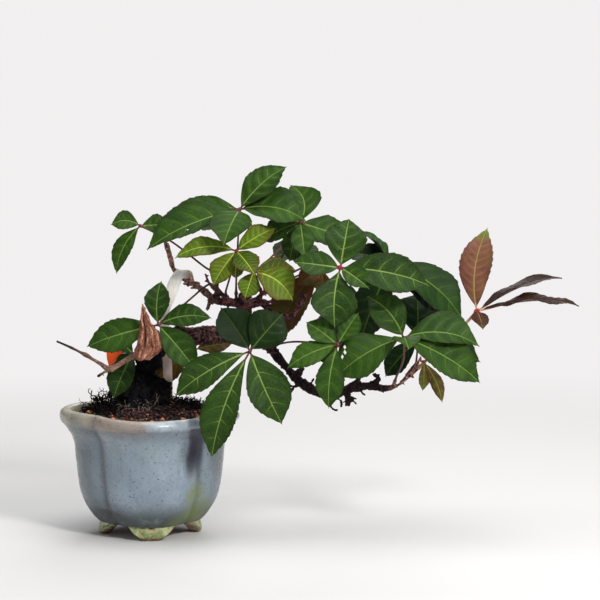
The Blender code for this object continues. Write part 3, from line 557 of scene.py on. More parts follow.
LEAF_LOOK = {"leaf_center": "rich", "leaf_low_front": "lower", "leaf_back_right": "deep",
             "leaf_behind_right": "deep", "leaf_young_left": "young", "leaf_young_mid": "young",
             "leaf_red_tip": "bronze", "leaf_tiny": "tiny", "leaf_back_low": "deep", "leaf_maroon": "maroon",
             "leaf_olive": "olive"}
LEAF_SLOT = {"young": "leaf_young", "tiny": "leaf_young", "bronze": "leaf_bronze", "maroon": "leaf_bronze"}


# ---------------------------------------------------------------- leaves

HALF_COLUMNS = np.array([0.03, 0.10, 0.22, 0.38, 0.55, 0.72, 0.86, 0.955, 1])
COLUMNS = np.concatenate([-HALF_COLUMNS[::-1], HALF_COLUMNS])
BLADE_THICK = 0.34
STEM_OF_BLADE = 0.05  # the part of a leaflet's length that is its own little stalk
TEETH_FROM, TEETH_TO, TOOTH_STEP = 0.34, 0.955, 4.8
TOOTH_OUT = ((0.0, 0.0), (0.35, 0.42), (0.70, 0.9), (0.90, 1.0))
TOOTH_SIZE = 0.62
FULL_WIDTH = 22  # teeth and ripples of narrower leaflets are smaller in proportion
ARCH, DROOP, QUILT, SUNKEN = 0.07, 0.10, 0.06, 0.36  # QUILT: how far a blade rises between its side veins
RIB_RADIUS = 0.62


def leaf_form(u, wedge):
    """Half the width of a blade, as a part of its widest: a base that is more or less a wedge, a drawn-out tip."""
    v = np.clip((u - STEM_OF_BLADE) / (1 - STEM_OF_BLADE), 0, 1)
    form = v**wedge * (1 - v) ** 0.7 * (1 - v**7)
    return form / form.max()


def margin_rows(length):
    """Rows from base to tip and how far the margin stands out at each: teeth that point to the tip."""
    rows = [(u, 0.0) for u in np.linspace(0, TEETH_FROM, 11)[:-1]]
    count = int(np.clip(round(length * (TEETH_TO - TEETH_FROM) / TOOTH_STEP), 4, 11))
    step = (TEETH_TO - TEETH_FROM) / count
    rows += [(TEETH_FROM + step * (index + part), out) for index in range(count) for part, out in TOOTH_OUT]
    return np.array([*rows, (TEETH_TO, 0.0), (0.972, 0.0), (0.987, 0.0), (1.0, 0.0)]).T


def two_sided(shape, grid, normal, thick, gone=(), **values):
    """A thin solid from a grid of points: upper face, margin and underside. The cells in gone are holes."""
    n, m = grid.shape[:2]
    top = grid.reshape(-1, 3)
    upper = [(i * m + j, i * m + j + 1, (i + 1) * m + j + 1, (i + 1) * m + j)
             for i in range(n - 1) for j in range(m - 1) if (i, j) not in gone]
    edges = {edge for quad in upper for edge in zip(quad, quad[1:] + quad[:1])}
    rim = [(a, a + n * m, b + n * m, b) for a, b in sorted(edges) if (b, a) not in edges]
    lower = [tuple(i + n * m for i in quad[::-1]) for quad in upper]
    both = {key: np.tile(np.broadcast_to(value, (n, m)).ravel(), 2) for key, value in values.items()}
    first = len(shape.faces)
    shape.add(np.concatenate([top, top - normal * thick]), [*upper, *rim, *lower], 0, **both)
    shape.slots[first + len(upper) + len(rim):] = [1] * len(lower)


def blade(shape, base, tip, width, facing, roll, bend, rng, wave, dense, holes, tone, form):
    """One leaflet from its hub to its tip, bent over its midrib, with its two faces, margin and underside rib."""
    length = np.linalg.norm(tip - base)
    along = (tip - base) / length
    normal = unit(facing - along * facing.dot(along))
    turn = math.radians(roll)
    normal = normal * math.cos(turn) + np.cross(along, normal) * math.sin(turn)
    side = np.cross(along, normal)
    rows, out = margin_rows(length)
    u, s = rows[:, None], COLUMNS[None, :]
    wedge, skew = form or (rng.uniform(0.82, 1.04), rng.uniform(-0.07, 0.07))
    half = np.maximum(width / 2 * leaf_form(rows, wedge), 0.16)[:, None]
    trough = rng.uniform(0.12, 0.25)
    size = min(1.0, width / FULL_WIDTH)
    jagged = np.array([rng.uniform(0.65, 1.15) for _ in rows])[:, None] * smooth(0.3, 0.45, u)
    x = s * half * (1 + skew * np.sign(s)) + np.sign(s) * np.abs(s) ** 9 * TOOTH_SIZE * size * out[:, None] * jagged
    bow = 4 * u * (1 - u)
    spacing = float(np.clip(length / rng.uniform(4.2, 6.4) / dense, 2.6, 11.0))
    vein = (length * u - 0.26 * np.abs(x) - 0.045 * x * x) / spacing + np.where(s < 0, 0.14, 0.0)
    vein = vein + rng.uniform(0, 0.5)
    phases = [rng.uniform(0, 1), rng.uniform(0, 1)]
    ripple = np.sin(TURN * (rng.uniform(1.3, 2.3) * u + np.where(s < 0, *phases)))
    twist = math.radians(rng.uniform(-14, 14))
    lift = ARCH * length * bow + trough * np.abs(x) + np.tan(twist * u) * x  # arched, folded and twisted
    lift = lift - DROOP * length * np.clip(u - 0.62, 0, 1) ** 2 * 2.2  # the drooping tip
    lift = lift + wave * size * ripple * np.abs(s) ** 2.2 * smooth(0.12, 0.35, u) * (1 - 0.7 * smooth(0.85, 1, u))
    lift = lift - QUILT * spacing * np.cos(TURN * vein) * smooth(0.05, 0.4, np.abs(s)) * (1 - 0.6 * np.abs(s))
    lift = lift - SUNKEN * size * np.exp(-(x / 0.9) ** 2) * smooth(0.03, 0.1, u)  # the sunken midrib
    grid = base + along * (length * u + 0 * s)[..., None] + side * (x + bend * bow)[..., None]
    grid = grid + normal * lift[..., None]
    gone = {(int(np.searchsorted(rows, along_at)) - 1, int(np.searchsorted(COLUMNS, across_at)) - 1)
            for along_at, across_at in holes}
    drawn = rng.uniform(0, 1)
    two_sided(shape, grid, normal, BLADE_THICK, gone, u=u, edge=np.abs(s), rib=x / (0.45 + 0.55 * size), vein=vein,
              tone=drawn if tone is None else tone)
    below = BLADE_THICK + 0.10 + 0.25 * smooth(0.04, 0.14, rows)
    middle = (grid[:, 8] + grid[:, 9]) / 2 - normal * below[:, None]
    keep = rows < 0.93
    radii = RIB_RADIUS * (0.55 + 0.45 * size) * (1 - rows[keep]) ** 0.8 + 0.08
    rib = np.column_stack([middle[keep], radii])
    rib[0, :3] = base
    stem = max(2, int(np.searchsorted(rows, 0.16)))
    tube(shape, rib[:stem], 7, 2)
    tube(shape, rib[stem - 1::2], 7, 1, u=0.5, tone=rng.uniform(0, 1))


def petiole(shape, spur, route, hub, knob=1.0, stout=1.0):
    """The stalk: in line with its spur at first, then bending to the hub, which is a small knob."""
    inside, tip = (np.asarray(values, float) for values in spur)
    away = unit(tip - inside)
    bent = smooth_route([tip + away * 4.3, *route, hub], 2.0)
    course = np.vstack([tip - away * 0.8, tip + away * 1.2, tip + away * 2.6, bent])
    part = np.linspace(0, 1, len(course))
    radii = (STALK_RADIUS + STALK_BASE * np.exp(-part * 14) + STALK_HUB * np.exp(-(1 - part) * 16)) * stout
    tube(shape, np.column_stack([course, radii]), 10, 2, rough=0.10)
    end = unit(course[-1] - course[-3])
    tube(shape, [(*(course[-1] + end * back * knob), radius * knob) for back, radius in HUB], 10, 2, u=1.0)


STALK_RADIUS, STALK_BASE, STALK_HUB = 0.70, 0.45, 0.28  # and how much thicker it is at its two ends
HUB = ((-1.7, 0.95), (-0.7, 1.3), (0.3, 1.25), (0.9, 0.8))  # the knob: how far along, radius
PETIOLES = {"rich": (1.35, 1.0), "bronze": (1.5, 1.45)}  # size of the knob, how stout
VEINS = {"young": 1.5, "bronze": 2.1}  # how much denser than usual
EDGE_ON = -60  # leaflets rolled further than this are seen edge-on, and ripple more


def make_leaf(name, spur, route, hub, facing, leaflets):
    rng = random.Random(name)
    look = LEAF_LOOK.get(name, "green")
    shape = Shape()
    hub, facing = np.array(hub, float), np.array(facing, float)
    petiole(shape, spur, route, hub, *PETIOLES.get(look, ()))
    for index, (x, y, z, width, *rest) in enumerate(leaflets):
        roll, bend = (*rest, 0, 0)[:2]
        holes, tone, form = (table.get(name, {}).get(index) for table in (HOLES, LEAFLET_TONES_AND_SHADE, FORMS))
        blade(shape, hub, hub + (x, y, z), width, facing, roll, bend, rng, 1.8 if roll < EDGE_ON else 1.0,
              VEINS.get(look, 1.0), holes or (), tone, form)
    piece(name + "_seen", shape, LOOKS[look], LEAF_SLOT.get(look, "leaf_green"), name)


for leaf_name, leaf_entry in LEAVES.items():
    make_leaf(leaf_name, *leaf_entry)


# ---------------------------------------------------------------- wood

STEP = 0.9  # between the points of a limb's route
SKIN_VOXEL = 0.58
COIL, COIL_WIDTH = 3.9, 0.62  # between the grooves round a limb, and how wide one is
LIMB_SLIM, HIGH_SLIM, LOW_SLIM, LEFT_SLIM = 0.94, 0.66, 0.92, 0.82  # parts of the tables' radii that are used
SWELL, HIGH_SWELL = 0.24, 0.55  # how far a limb's nodes swell
NECK_HEIGHT, NECK_REACH, NECK_WAIST = 114.5, 5.5, 0.27  # the trunk is drawn in above its base
TRUNK_X, FLARE_REACH, FLARE_HEIGHT = -5, 16.0, 94
LOOP_CENTRE = (131, -5.5, 91.2)  # the curled tendril under the stem
SPUR_BASE, SPUR_NECK, SPUR_TIP = 1.5, 1.2, 1.45


def bark(name, dark, light, shade_and_highlight_streak, moss, fresh):
    """Rough bark. Point values: u is how black and mossy it is, edge how young and smooth, tone how raised. Raised
    ridges get a painted highlight, and sunken parts and cracks get painted shade.
    """
    g = Graph(name)
    mossy, young, raised, purple = g.value("u"), g.value("edge"), g.value("tone"), g.value("rib")
    g.colour = g.mix(g.cloud(190, 4, 0.65, 0.3, 0.7), dark, light)
    g.paint(young, g.mix(g.cloud(330, 3, 0.6, 0.35, 0.65), fresh, light))
    # painted highlight: raised ridges paler, together with pale bark flakes
    g.paint(g.times(g.cloud(620, 4, 0.7, 0.5, 0.68), g.ramp(raised, 0.35, 0.75)), shade_and_highlight_streak, 0.65)
    g.paint(g.times(purple, g.cloud(140, 3, 0.6, 0.3, 0.6, 0.7)), (56, 24, 40))
    g.paint(g.times(purple, g.cloud(230, 3, 0.65, 0.48, 0.62)), (158, 98, 98), 0.75)
    g.paint(g.times(young, g.cloud(160, 3, 0.6, 0.56, 0.68)), (128, 122, 96), 0.6)
    blackened = g.mix(g.times(g.cloud(300, 3, 0.7, 0.6, 0.74), 0.35), moss, (28, 30, 34))
    # painted highlight: raised ridges in the mossy parts show the lighter bark
    wear_and_highlight = g.times(g.ramp(raised, 0.62, 0.95), g.ramp(mossy, 0.9, 0.5))
    g.paint(mossy, g.mix(g.times(wear_and_highlight, 0.7), blackened, light))
    cracks = g.net(420, 0.1)
    # painted shade: near black in the cracks and in the sunken parts between ridges
    g.paint(g.most(g.times(cracks, 0.6), g.ramp(raised, 0.42, 0.1, 0, 0.9)), (16, 9, 14))
    normal = g.bump(g.plus(g.noise(900, 5, 0.7), g.times(cracks, -0.8)), 0.4, 0.8)
    return g.finish(g.cloud(500, 3, 0.5, 0.2, 0.8, 0.66, 0.95), normal, Specular_IOR_Level=0.18)


def stubs_on(shape, route, rng, count, length, size, lean=0.3, slot=0):
    """Short stubs, buds and leaf scars that stand out from a route, each with a slightly swollen end."""
    centres = route[:, :3]
    tangents, one, two = frames_along(centres)
    for _ in range(count):
        at = rng.randrange(2, len(route) - 2)
        turn = rng.uniform(0, TURN)
        out = unit(one[at] * math.cos(turn) + two[at] * math.sin(turn) + tangents[at] * rng.uniform(-lean, lean))
        radius, reach = rng.uniform(*size), rng.uniform(*length)
        start = centres[at] + out * (route[at, 3] - radius)
        bend = np.array([rng.uniform(-0.25, 0.25) for _ in range(3)]) * reach
        stations = [(*(start + out * reach * part + bend * bent), radius * wide)
                    for part, bent, wide in ((0, 0, 1.35), (0.5, 0.4, 0.85), (0.85, 1, 1), (1, 1.2, 0.8))]
        tube(shape, stations, 10, slot, tone=0.6)


def swollen(route, rng, knots, most=SWELL):
    """The route with a swollen node here and there."""
    along = travelled(route[:, :3])
    swell = np.ones(len(route))
    for _ in range(knots):
        middle = rng.uniform(0, along[-1])
        swell = swell + rng.uniform(most / 3, most) * np.exp(-((along - middle) / rng.uniform(1.2, 2.6)) ** 2)
    return np.column_stack([route[:, :3], route[:, 3] * swell])


def remeshed(shape):
    """One closed skin over the shape's overlapping bodies, as (points in mm, faces, normals)."""
    obj = placed("skin", shape.mesh("skin"))
    skin = obj.modifiers.new("skin", "REMESH")
    skin.mode = "VOXEL"
    skin.voxel_size = SKIN_VOXEL * MM
    obj.modifiers.new("blend", "SMOOTH").iterations = 2
    made = bpy.data.meshes.new_from_object(obj.evaluated_get(bpy.context.evaluated_depsgraph_get()))
    points, normals = np.empty((2, len(made.vertices) * 3))
    made.vertices.foreach_get("co", points)
    made.vertices.foreach_get("normal", normals)
    faces = [tuple(polygon.vertices) for polygon in made.polygons]
    rough = obj.data
    bpy.data.objects.remove(obj)
    for mesh in (rough, made):
        bpy.data.meshes.remove(mesh)
    return (points.reshape(-1, 3) - POT) / MM, faces, normals.reshape(-1, 3)


def wood_bodies(rng):
    """The wood as overlapping tubes, and its routes: stations, and how far along its limb each is."""
    shape = Shape()
    skeleton, lengths = [], []

    def limb(stations, knots, sides=20, slim=LIMB_SLIM, most=SWELL):
        route = smooth_route(stations, STEP)
        neck = NECK_WAIST * np.exp(-((route[:, 2] - NECK_HEIGHT) / NECK_REACH) ** 2)
        neck *= smooth(12, 4, np.abs(route[:, 0] + 3))
        route[:, 3] *= slim * (1 - neck) * (1 - 0.55 * smooth(166, 178, route[:, 0]))
        skeleton.extend(route)
        lengths.extend(travelled(route[:, :3]))
        tube(shape, swollen(route, rng, knots, most), sides)
        return route

    limb(TRUNK_BASE, 3, 28)
    stem = limb(MAIN_STEM, 30, 26)
    for name, stations in BRANCHES.items():
        high = name.startswith(("upper", "fork", "left"))
        slim, swell = (HIGH_SLIM, HIGH_SWELL) if high else (LOW_SLIM, SWELL)
        route = limb(stations, 9 if name == "upper" else 5, 20, slim, swell)
        if name == "upper":
            stubs_on(shape, route, rng, 26, (1.5, 5.0), (0.5, 1.0), 0.6)
        elif name.startswith("root"):
            stubs_on(shape, route, rng, 6, (1.0, 2.4), (0.9, 2.0))
        else:
            stubs_on(shape, route, rng, 6, (1.2, 3.6), (0.5, 0.9), 0.6)
    stubs_on(shape, stem[stem[:, 0] > 84], rng, 34, (0.8, 2.6), (0.6, 1.25), 0.5)
    stubs_on(shape, stem[(stem[:, 0] <= 84) & (stem[:, 2] > 118)], rng, 22, (0.4, 1.6), (1.0, 2.0), 0.5)
    for x, y, z, size in BASE_LUMPS:
        tube(shape, [(x, y, z, size), (x + 1, y, z + size * 0.5, size * 0.9)], 16)
    for _ in range(26):  # knobs round the flared base
        turn, high = rng.uniform(0, TURN), rng.uniform(88, 106)
        reach = FLARE_REACH - abs(high - FLARE_HEIGHT) * 0.30
        x, y = TRUNK_X + reach * math.cos(turn), reach * math.sin(turn)
        size = rng.uniform(1.6, 3.6)
        tube(shape, [(x, y, high, size), (x, y, high + size * 0.7, size * 0.8)], 12)
    x, y, z = LOOP_CENTRE
    tube(shape, [(x + 3.9 * math.cos(a), y, z + 4.2 * math.sin(a), 1.0) for a in np.linspace(-0.4, 4.9, 16)], 10)
    for x, y, z, dx, dz, radius in LOW_STUBS:
        tube(shape, [(x, y, z, radius * 1.3), (x + dx * 0.5, y - 1, z + dz * 0.5, radius),
                     (x + dx, y - 1, z + dz, radius)], 10)
    for inside, tip in [*(entry[0] for entry in LEAVES.values()), DRY_SPUR]:
        away = unit(np.subtract(tip, inside))
        tube(shape, [(*inside, SPUR_BASE), (*(tip - away * 1.2), SPUR_NECK), (*tip, SPUR_TIP)], 12)
    return shape, np.array(skeleton), np.array(lengths)


def make_wood():
    """The wood: one skin over its tubes, raised into ridges, lumps and coiled grooves, and the pale left twig."""
    rng = random.Random(11)
    shape, skeleton, lengths = wood_bodies(rng)
    points, faces, normals = remeshed(shape)
    nearest_of = kdtree.KDTree(len(skeleton))
    for index, row in enumerate(skeleton):
        nearest_of.insert(row[:3], index)
    nearest_of.balance()
    nearest = np.array([nearest_of.find(at)[1] for at in points])
    x, z = points[:, 0], points[:, 2]
    after = np.minimum(nearest + 1, len(skeleton) - 1)
    tangent = skeleton[after, :3] - skeleton[nearest, :3]
    tangent /= np.maximum(np.linalg.norm(tangent, axis=1, keepdims=True), 1e-6)
    along = lengths[nearest] + np.sum((points - skeleton[nearest, :3]) * tangent, axis=1)
    fibre = points - tangent * np.sum(points * tangent, axis=1, keepdims=True) * 0.80
    ridges = 1 - 2 * np.abs(sampled(fibre, 0.55))
    turn = along / COIL + 0.55 * sampled(points, 0.22)
    groove = np.exp(-((turn - np.round(turn)) * COIL / COIL_WIDTH) ** 2)
    mossy = smooth(133, 125, z) * smooth(34, 22, x)
    young = np.maximum(smooth(156, 170, x), 0.85 * smooth(148, 158, z))
    gnarled = smooth(80, 94, x) * smooth(176, 164, x) * smooth(142, 128, z)
    purple = np.maximum(0.95 * smooth(32, 54, x) * smooth(146, 154, z), 0.35 * gnarled)
    strength = np.clip(skeleton[nearest, 3] / 5.5, 0.28, 1.1)
    lumps = sampled(points, 0.30, 0.6, 2.2, 3) * (0.80 + 1.1 * mossy) * strength
    rise = ((ridges - 0.62) * 0.85 * strength + lumps - groove * 0.55 * strength * (1 - mossy)
            + sampled(points, 1.5) * (0.10 + 0.90 * mossy + 0.22 * gnarled))
    wood = Shape()
    wood.add(points + normals * rise[:, None], faces, 0, u=np.maximum(mossy, 0.80 * gnarled),
             edge=young * (1 - mossy), tone=np.clip(0.58 + rise / (0.9 * strength + 0.25), 0, 1), rib=purple)
    for stations in LEFT_TWIGS:
        route = smooth_route(stations, STEP) * (1, 1, 1, LEFT_SLIM)
        tube(wood, swollen(route, rng, 4), 12, 1, rough=0.12, tone=0.6)
        stubs_on(wood, route, rng, 5, (0.6, 1.6), (0.35, 0.6), 0.3, 1)
    old = bark("bark", (46, 26, 30), (112, 78, 72), (176, 142, 132), (7, 7, 12), (200, 150, 134))
    twig = bark("twig_bark", (138, 98, 82), (204, 164, 142), (222, 190, 168), (30, 24, 22), (160, 122, 104))
    piece("wood_seen", wood, [old, twig], "bark", "trunk_and_branches")


make_wood()


# ---------------------------------------------------------------- pot and soil

EIGHTH = TURN / 8
LOBE_DEPTH = 0.30
POT_SIDES, SOIL_SIDES = 224, 72
LOWER_LIP = 2.4  # how much lower the rim is from its middle to its right end than at its left end
FOOT_TOP, FOOT_HALF = 12.8, 16.9
FOOT_WIDTHS, FOOT_HEIGHTS = [5.0, 8.8, 12.4, 15.2, 16.6, 17.0], [0.0, 2.6, 5.6, 8.6, 11.0, 12.4]
FOOT_BEND, FOOT_INNER, FOOT_OUTER = 32, 28.2, 35.6  # the radii a foot is bent round and reaches from and to
SOIL_PROFILE = [(92.0, 0.01), (91.6, 8), (90.6, 16), (89.0, 24), (86.2, 33), (84.6, 40), (83.4, 46), (82.6, 52.6),
                (79, 52.0), (70, 48.4), (60, 46.6), (45, 45.0), (30, 41.8), (20, 36.0), (16.4, 29.4), (16.4, 0.01)]
MOUND_RADII, MOUND_HEIGHTS = [0, 12, 24, 38, 48, 53], [92.5, 92.0, 90.0, 86.5, 84.6, 84.0]
SOIL_REACH, SOIL_EDGE, TRUNK_CLEAR = 54, 53.2, 11.5
LARGE_GRANULES = [(36, -33, 2.6), (-41, -14, 2.5), (26, -41, 1.8), (12, -45, 1.9), (-22, -41, 1.7),
                  (-33, -33, 2.1)]
MOSS_EDGE, MOSS_CLEAR = 47, 8


def from_groove(angle):
    """How far an angle is from the groove nearest to it."""
    return EIGHTH - np.abs(np.mod(angle + EIGHTH, 2 * EIGHTH) - EIGHTH)


def lobed(radius, angle):
    """The radius after the turned form is drawn into four lobes, with a soft groove between each two."""
    depth = LOBE_DEPTH * np.clip((radius - 12.0) / 20.0, 0, 1)
    off = EIGHTH - np.sqrt(from_groove(angle) ** 2 + 0.02**2)
    return radius * (depth * np.cos(off) + np.sqrt((1 - depth) ** 2 - (depth * np.sin(off)) ** 2))


def turned(shape, profile, sides, closed, **values):
    """Turns (height, radius) points round the axis and draws the form into lobes. Radius 0 closes an end."""
    heights, radii = np.asarray(profile, float).T
    angles = np.linspace(0, TURN, sides, endpoint=False)
    radius = lobed(radii[:, None], angles[None, :])
    around = angles + POT_TURN
    points = np.stack([radius * np.cos(around), radius * np.sin(around),
                       np.broadcast_to(heights[:, None], radius.shape)], axis=-1).reshape(-1, 3)
    groove = np.exp(-(from_groove(angles) / 0.075) ** 2)
    shape.add(points, quads(len(radii), sides, closed), 0, edge=np.tile(groove, len(radii)),
              rib=np.repeat(radii, sides), u=np.repeat(heights, sides), **values)
    return points


def foot(shape, turn, slot):
    """A half-moon foot that follows the pot's round underside; its sections are rounded oblongs."""
    across = np.sin(np.linspace(-math.pi / 2, math.pi / 2, 37)) * FOOT_HALF
    phases = np.linspace(0, TURN, 32, endpoint=False)
    points = []
    for x in across:
        low = float(np.interp(abs(x), FOOT_WIDTHS, FOOT_HEIGHTS))
        for phase in phases:
            c, s = math.cos(phase), math.sin(phase)
            z = (low + FOOT_TOP) / 2 + (FOOT_TOP - low) / 2 * math.copysign(abs(s) ** 0.28, s)
            lean = z / FOOT_TOP
            inner = FOOT_INNER - 6.5 * lean
            outer = FOOT_OUTER + 1.3 * math.sin(math.pi * min(lean * 1.5, 1)) - 1.2 * lean
            radius = (inner + outer) / 2 + (outer - inner) / 2 * math.copysign(abs(c) ** 0.5, c)
            angle = x / FOOT_BEND - math.pi / 2 + turn
            points.append((radius * math.cos(angle), radius * math.sin(angle), z))
    shape.add(points, capped(len(across), len(phases)), slot, u=np.array(points)[:, 2])


def glaze():
    """Blue-grey glaze: softly mottled, pinholed and specked, darker in the grooves, stained low down; painted shade
    on both sides, under the lip and low down, and a painted shadow by the right-hand groove.
    """
    g = Graph("glaze_blue_grey")
    groove, height, radius, inner = g.value("edge"), g.value("u"), g.value("rib"), g.value("vein")
    along = g.axis("X")
    g.colour = g.mix(g.cloud(30, 3, 0.55, 0.3, 0.7), (127, 142, 155), (147, 163, 178))
    g.paint(g.cloud(19, 2, 0.5, 0.5, 0.66, 0, 0.55), (128, 143, 142))
    g.paint(g.ramp(g.noise(1, 3, 0.6, (260, 260, 22)), 0.48, 0.75), (92, 104, 116), 0.22)
    g.paint(g.cloud(380, 4, 0.7, 0.5, 0.7), (86, 98, 110), 0.3)
    g.paint(g.cloud(520, 3, 0.7, 0.56, 0.7), (170, 182, 192), 0.3)
    # painted shade: the left and right sides of the pot darker, where they turn away from the light
    g.paint(g.ramp(along, POT[0] - 0.022, POT[0] - 0.052), (82, 92, 95), 0.88)
    g.paint(g.ramp(along, POT[0] + 0.030, POT[0] + 0.052), (90, 98, 106), 0.8)

    # painted shadow of the hanging leaflet, a dark band beside the right-hand groove
    line = g.ramp(height, 40, 75, POT[0] + 0.0315, POT[0] + 0.0352, "LINEAR")
    shade_and_highlight_streak = g.math("ABSOLUTE", g.math("SUBTRACT", along, line))
    shade_and_highlight_streak = g.ramp(g.plus(shade_and_highlight_streak, g.times(g.noise(90, 3, 0.6), 0.004)), 0.0047, 0.009, 1, 0)
    shade_and_highlight_streak = g.times(g.times(shade_and_highlight_streak, g.ramp(g.axis("Y"), -0.015, -0.025)), g.ramp(height, 40, 62))
    g.paint(shade_and_highlight_streak, (46, 40, 58), 0.96)

    # the rim: bluish to the right, thin and sandy to the left, ruddy between
    rim = g.ramp(height, 78.5, 82)
    left_part = g.ramp(along, POT[0] - 0.012, POT[0] - 0.034)
    bluish = g.mix(g.cloud(75, 3, 0.6, 0.35, 0.65), (140, 150, 158), (172, 184, 192))
    g.paint(g.times(rim, g.ramp(left_part, 0, 1, 0.75, 0)), bluish)
    g.paint(g.times(g.times(rim, left_part), g.cloud(55, 3, 0.5, 0.25, 0.6, 0.55)), (166, 160, 142), 0.9)
    ruddy = g.most(g.near(-10, -57, 82, 24), g.near(-30, -50, 82, 24))
    ruddy = g.ramp(g.times(ruddy, g.cloud(90, 3, 0.6, 0.2, 0.5, 0.55)), 0, 0.7)
    g.paint(g.times(ruddy, g.ramp(height, 75, 80, 0.22)), (142, 126, 114), 0.85)
    g.paint(g.times(g.ramp(height, 87.6, 88.8), g.cloud(120, 3, 0.5, 0.35, 0.6, 0.4)), (206, 196, 176), 0.45)
    # painted shade under the overhanging lip
    shade_under_lip = g.times(g.ramp(height, 70, 76.5), g.ramp(height, 78.2, 79.6, 1, 0))
    g.paint(g.times(shade_under_lip, g.cloud(120, 3, 0.6, 0.3, 0.6, 0.5)), (92, 92, 98), 0.5)

    # grooves, grime with painted shade low down, and stains
    # darker in the grooves: glaze pooled there, and painted shade in the hollow
    g.paint(g.times(groove, g.ramp(height, 76, 82, 0.72, 0.25)), (66, 72, 82))
    # darker low on the body: grime, together with painted shade near the foot
    low = g.plus(g.ramp(height, 31, 13), g.times(g.near(-30, -32, 14, 24), 0.5), True)
    grime_and_shade = g.times(low, g.cloud(110, 4, 0.65, 0.2, 0.5, 0.45))
    g.paint(grime_and_shade, (54, 60, 58), 0.88)
    stain = g.most(g.near(37, -25, 16, 24), g.near(36, -33, 30, 17))
    stain = g.ramp(g.most(stain, g.times(g.near(22, -32, 11, 14), 0.7)), 0, 0.75)
    g.paint(g.times(stain, g.cloud(100, 4, 0.7, 0.25, 0.65, 0.35)), (112, 124, 64), 0.78)
    g.paint(g.times(g.near(-23, -26, 21, 9), g.cloud(300, 3, 0.6, 0.4, 0.6)), (104, 86, 74), 0.7)

    # specks and pinholes, then the bare clay inside and underneath
    specks = g.times(g.cells(300, 0.1, 0.22), g.cloud(60, 2, 0.5, 0.38, 0.56))
    dust = g.times(g.cells(640, 0.12, 0.24), g.cloud(90, 2, 0.5, 0.42, 0.58))
    specks = g.most(specks, g.times(dust, 0.7))
    g.paint(specks, (44, 48, 58), 0.8)
    pits = g.times(g.cells(120, 0.055, 0.095), g.cloud(40, 3, 0.5, 0.44, 0.52))
    g.paint(pits, (26, 24, 30), 0.9)
    g.paint(g.times(inner, g.ramp(height, 88, 84, 0, 0.7)), (118, 112, 86))
    below = g.times(g.ramp(height, 10.4, 9.2), g.ramp(radius, 36, 34))
    g.paint(g.most(below, g.times(inner, g.ramp(height, 78, 70))),
            g.mix(g.noise(300, 4, 0.7), (86, 50, 38), (128, 84, 64)))
    normal = g.bump(g.noise(120, 3, 0.55), 0.5, 0.35)
    normal = g.bump(g.plus(g.times(pits, -1.6), g.times(specks, -0.5)), 0.35, 0.9, normal)
    normal = g.bump(g.noise(900, 3, 0.6), 0.05, 0.5, normal)
    rough = g.plus(g.cloud(200, 4, 0.6, 0.3, 0.8, 0.22, 0.42), g.times(grime_and_shade, 0.25))
    rough = g.plus(rough, g.ramp(shade_and_highlight_streak, 0, 0.8, 0, 0.45), True)
    return g.finish(rough, normal, Coat_Weight=g.ramp(shade_and_highlight_streak, 0, 0.8, 0.22, 0.02), Coat_Roughness=0.16,
                    Specular_IOR_Level=0.4)


def foot_glaze():
    """Thin pale green glaze over buff clay, freckled, with a brown edge where it wears away."""
    g = Graph("glaze_feet")
    height = g.value("u")
    g.colour = g.mix(g.cloud(90, 4, 0.65, 0.35, 0.65), (166, 164, 114), (214, 214, 176))
    g.paint(g.cloud(480, 4, 0.7, 0.5, 0.64), (92, 98, 56))
    g.paint(g.cloud(240, 3, 0.6, 0.64, 0.72), (222, 222, 196))
    g.paint(g.times(g.ramp(height, 12, 7), g.cloud(120, 3, 0.6, 0.45, 0.62)), (96, 124, 56), 0.6)
    wear_and_highlight = g.plus(g.ramp(height, 3.4, 0.2), g.times(g.near(3.5, -36, 10.5, 5), 0.9), True)
    wear_and_highlight = g.most(wear_and_highlight, g.most(g.near(-25, -5, 3, 15), g.near(27, -3, 3, 13)))
    g.paint(g.times(g.ramp(wear_and_highlight, 0, 0.7), g.cloud(260, 3, 0.6, 0.3, 0.5)), (112, 60, 44))
    return g.finish(0.42, g.bump(g.noise(500, 4, 0.7), 0.25, 0.8), Coat_Weight=0.2, Coat_Roughness=0.25)


def make_pot():
    """The lobed pot, slightly uneven as a hand-made one is, and its four feet."""
    shape = Shape()
    corners = [(*at, 0) for at in POT_OUTSIDE] + [(*at, 1) for at in POT_INSIDE]
    profile = smooth_route([*corners, corners[0]], 1.2)[:-1]
    inner = np.repeat(np.clip(profile[:, 2], 0, 1), POT_SIDES)
    points = turned(shape, profile[:, :2], POT_SIDES, True, vein=inner)
    outward = points * (1, 1, 0)
    outward /= np.maximum(np.linalg.norm(outward, axis=1, keepdims=True), 1e-6)
    firm = smooth(9.5, 22, points[:, 2]) * smooth(14, 30, np.linalg.norm(points[:, :2], axis=1))
    uneven = points + outward * (sampled(points, 0.035, 0.7, 2.1, 3) * 0.5 * firm)[:, None]
    uneven[:, 2] -= LOWER_LIP * smooth(-50, -4, points[:, 0]) * smooth(79, 86, points[:, 2])
    shape.points[0] = uneven
    for index in range(4):
        foot(shape, POT_TURN + index * math.pi / 2, 1)
    piece("pot_seen", shape, [glaze(), foot_glaze()], "glaze", "pot")


def mound(x, y):
    """The soil's height at a point, in mm."""
    return float(np.interp(np.hypot(x, y), MOUND_RADII, MOUND_HEIGHTS))


def rock(rng, sides):
    """A rough granule of radius about 1 round the origin, as (points, faces)."""
    bm = bmesh.new()
    bmesh.ops.create_icosphere(bm, subdivisions=sides, radius=1)
    shift = Vector((rng.uniform(0, 50), rng.uniform(0, 50), rng.uniform(0, 50)))
    for vert in bm.verts:
        vert.co *= 1 + 0.42 * noise.noise(vert.co * 1.1 + shift)
    points = np.array([vert.co[:] for vert in bm.verts])
    faces = [tuple(vert.index for vert in face.verts) for face in bm.faces]
    bm.free()
    return points, faces


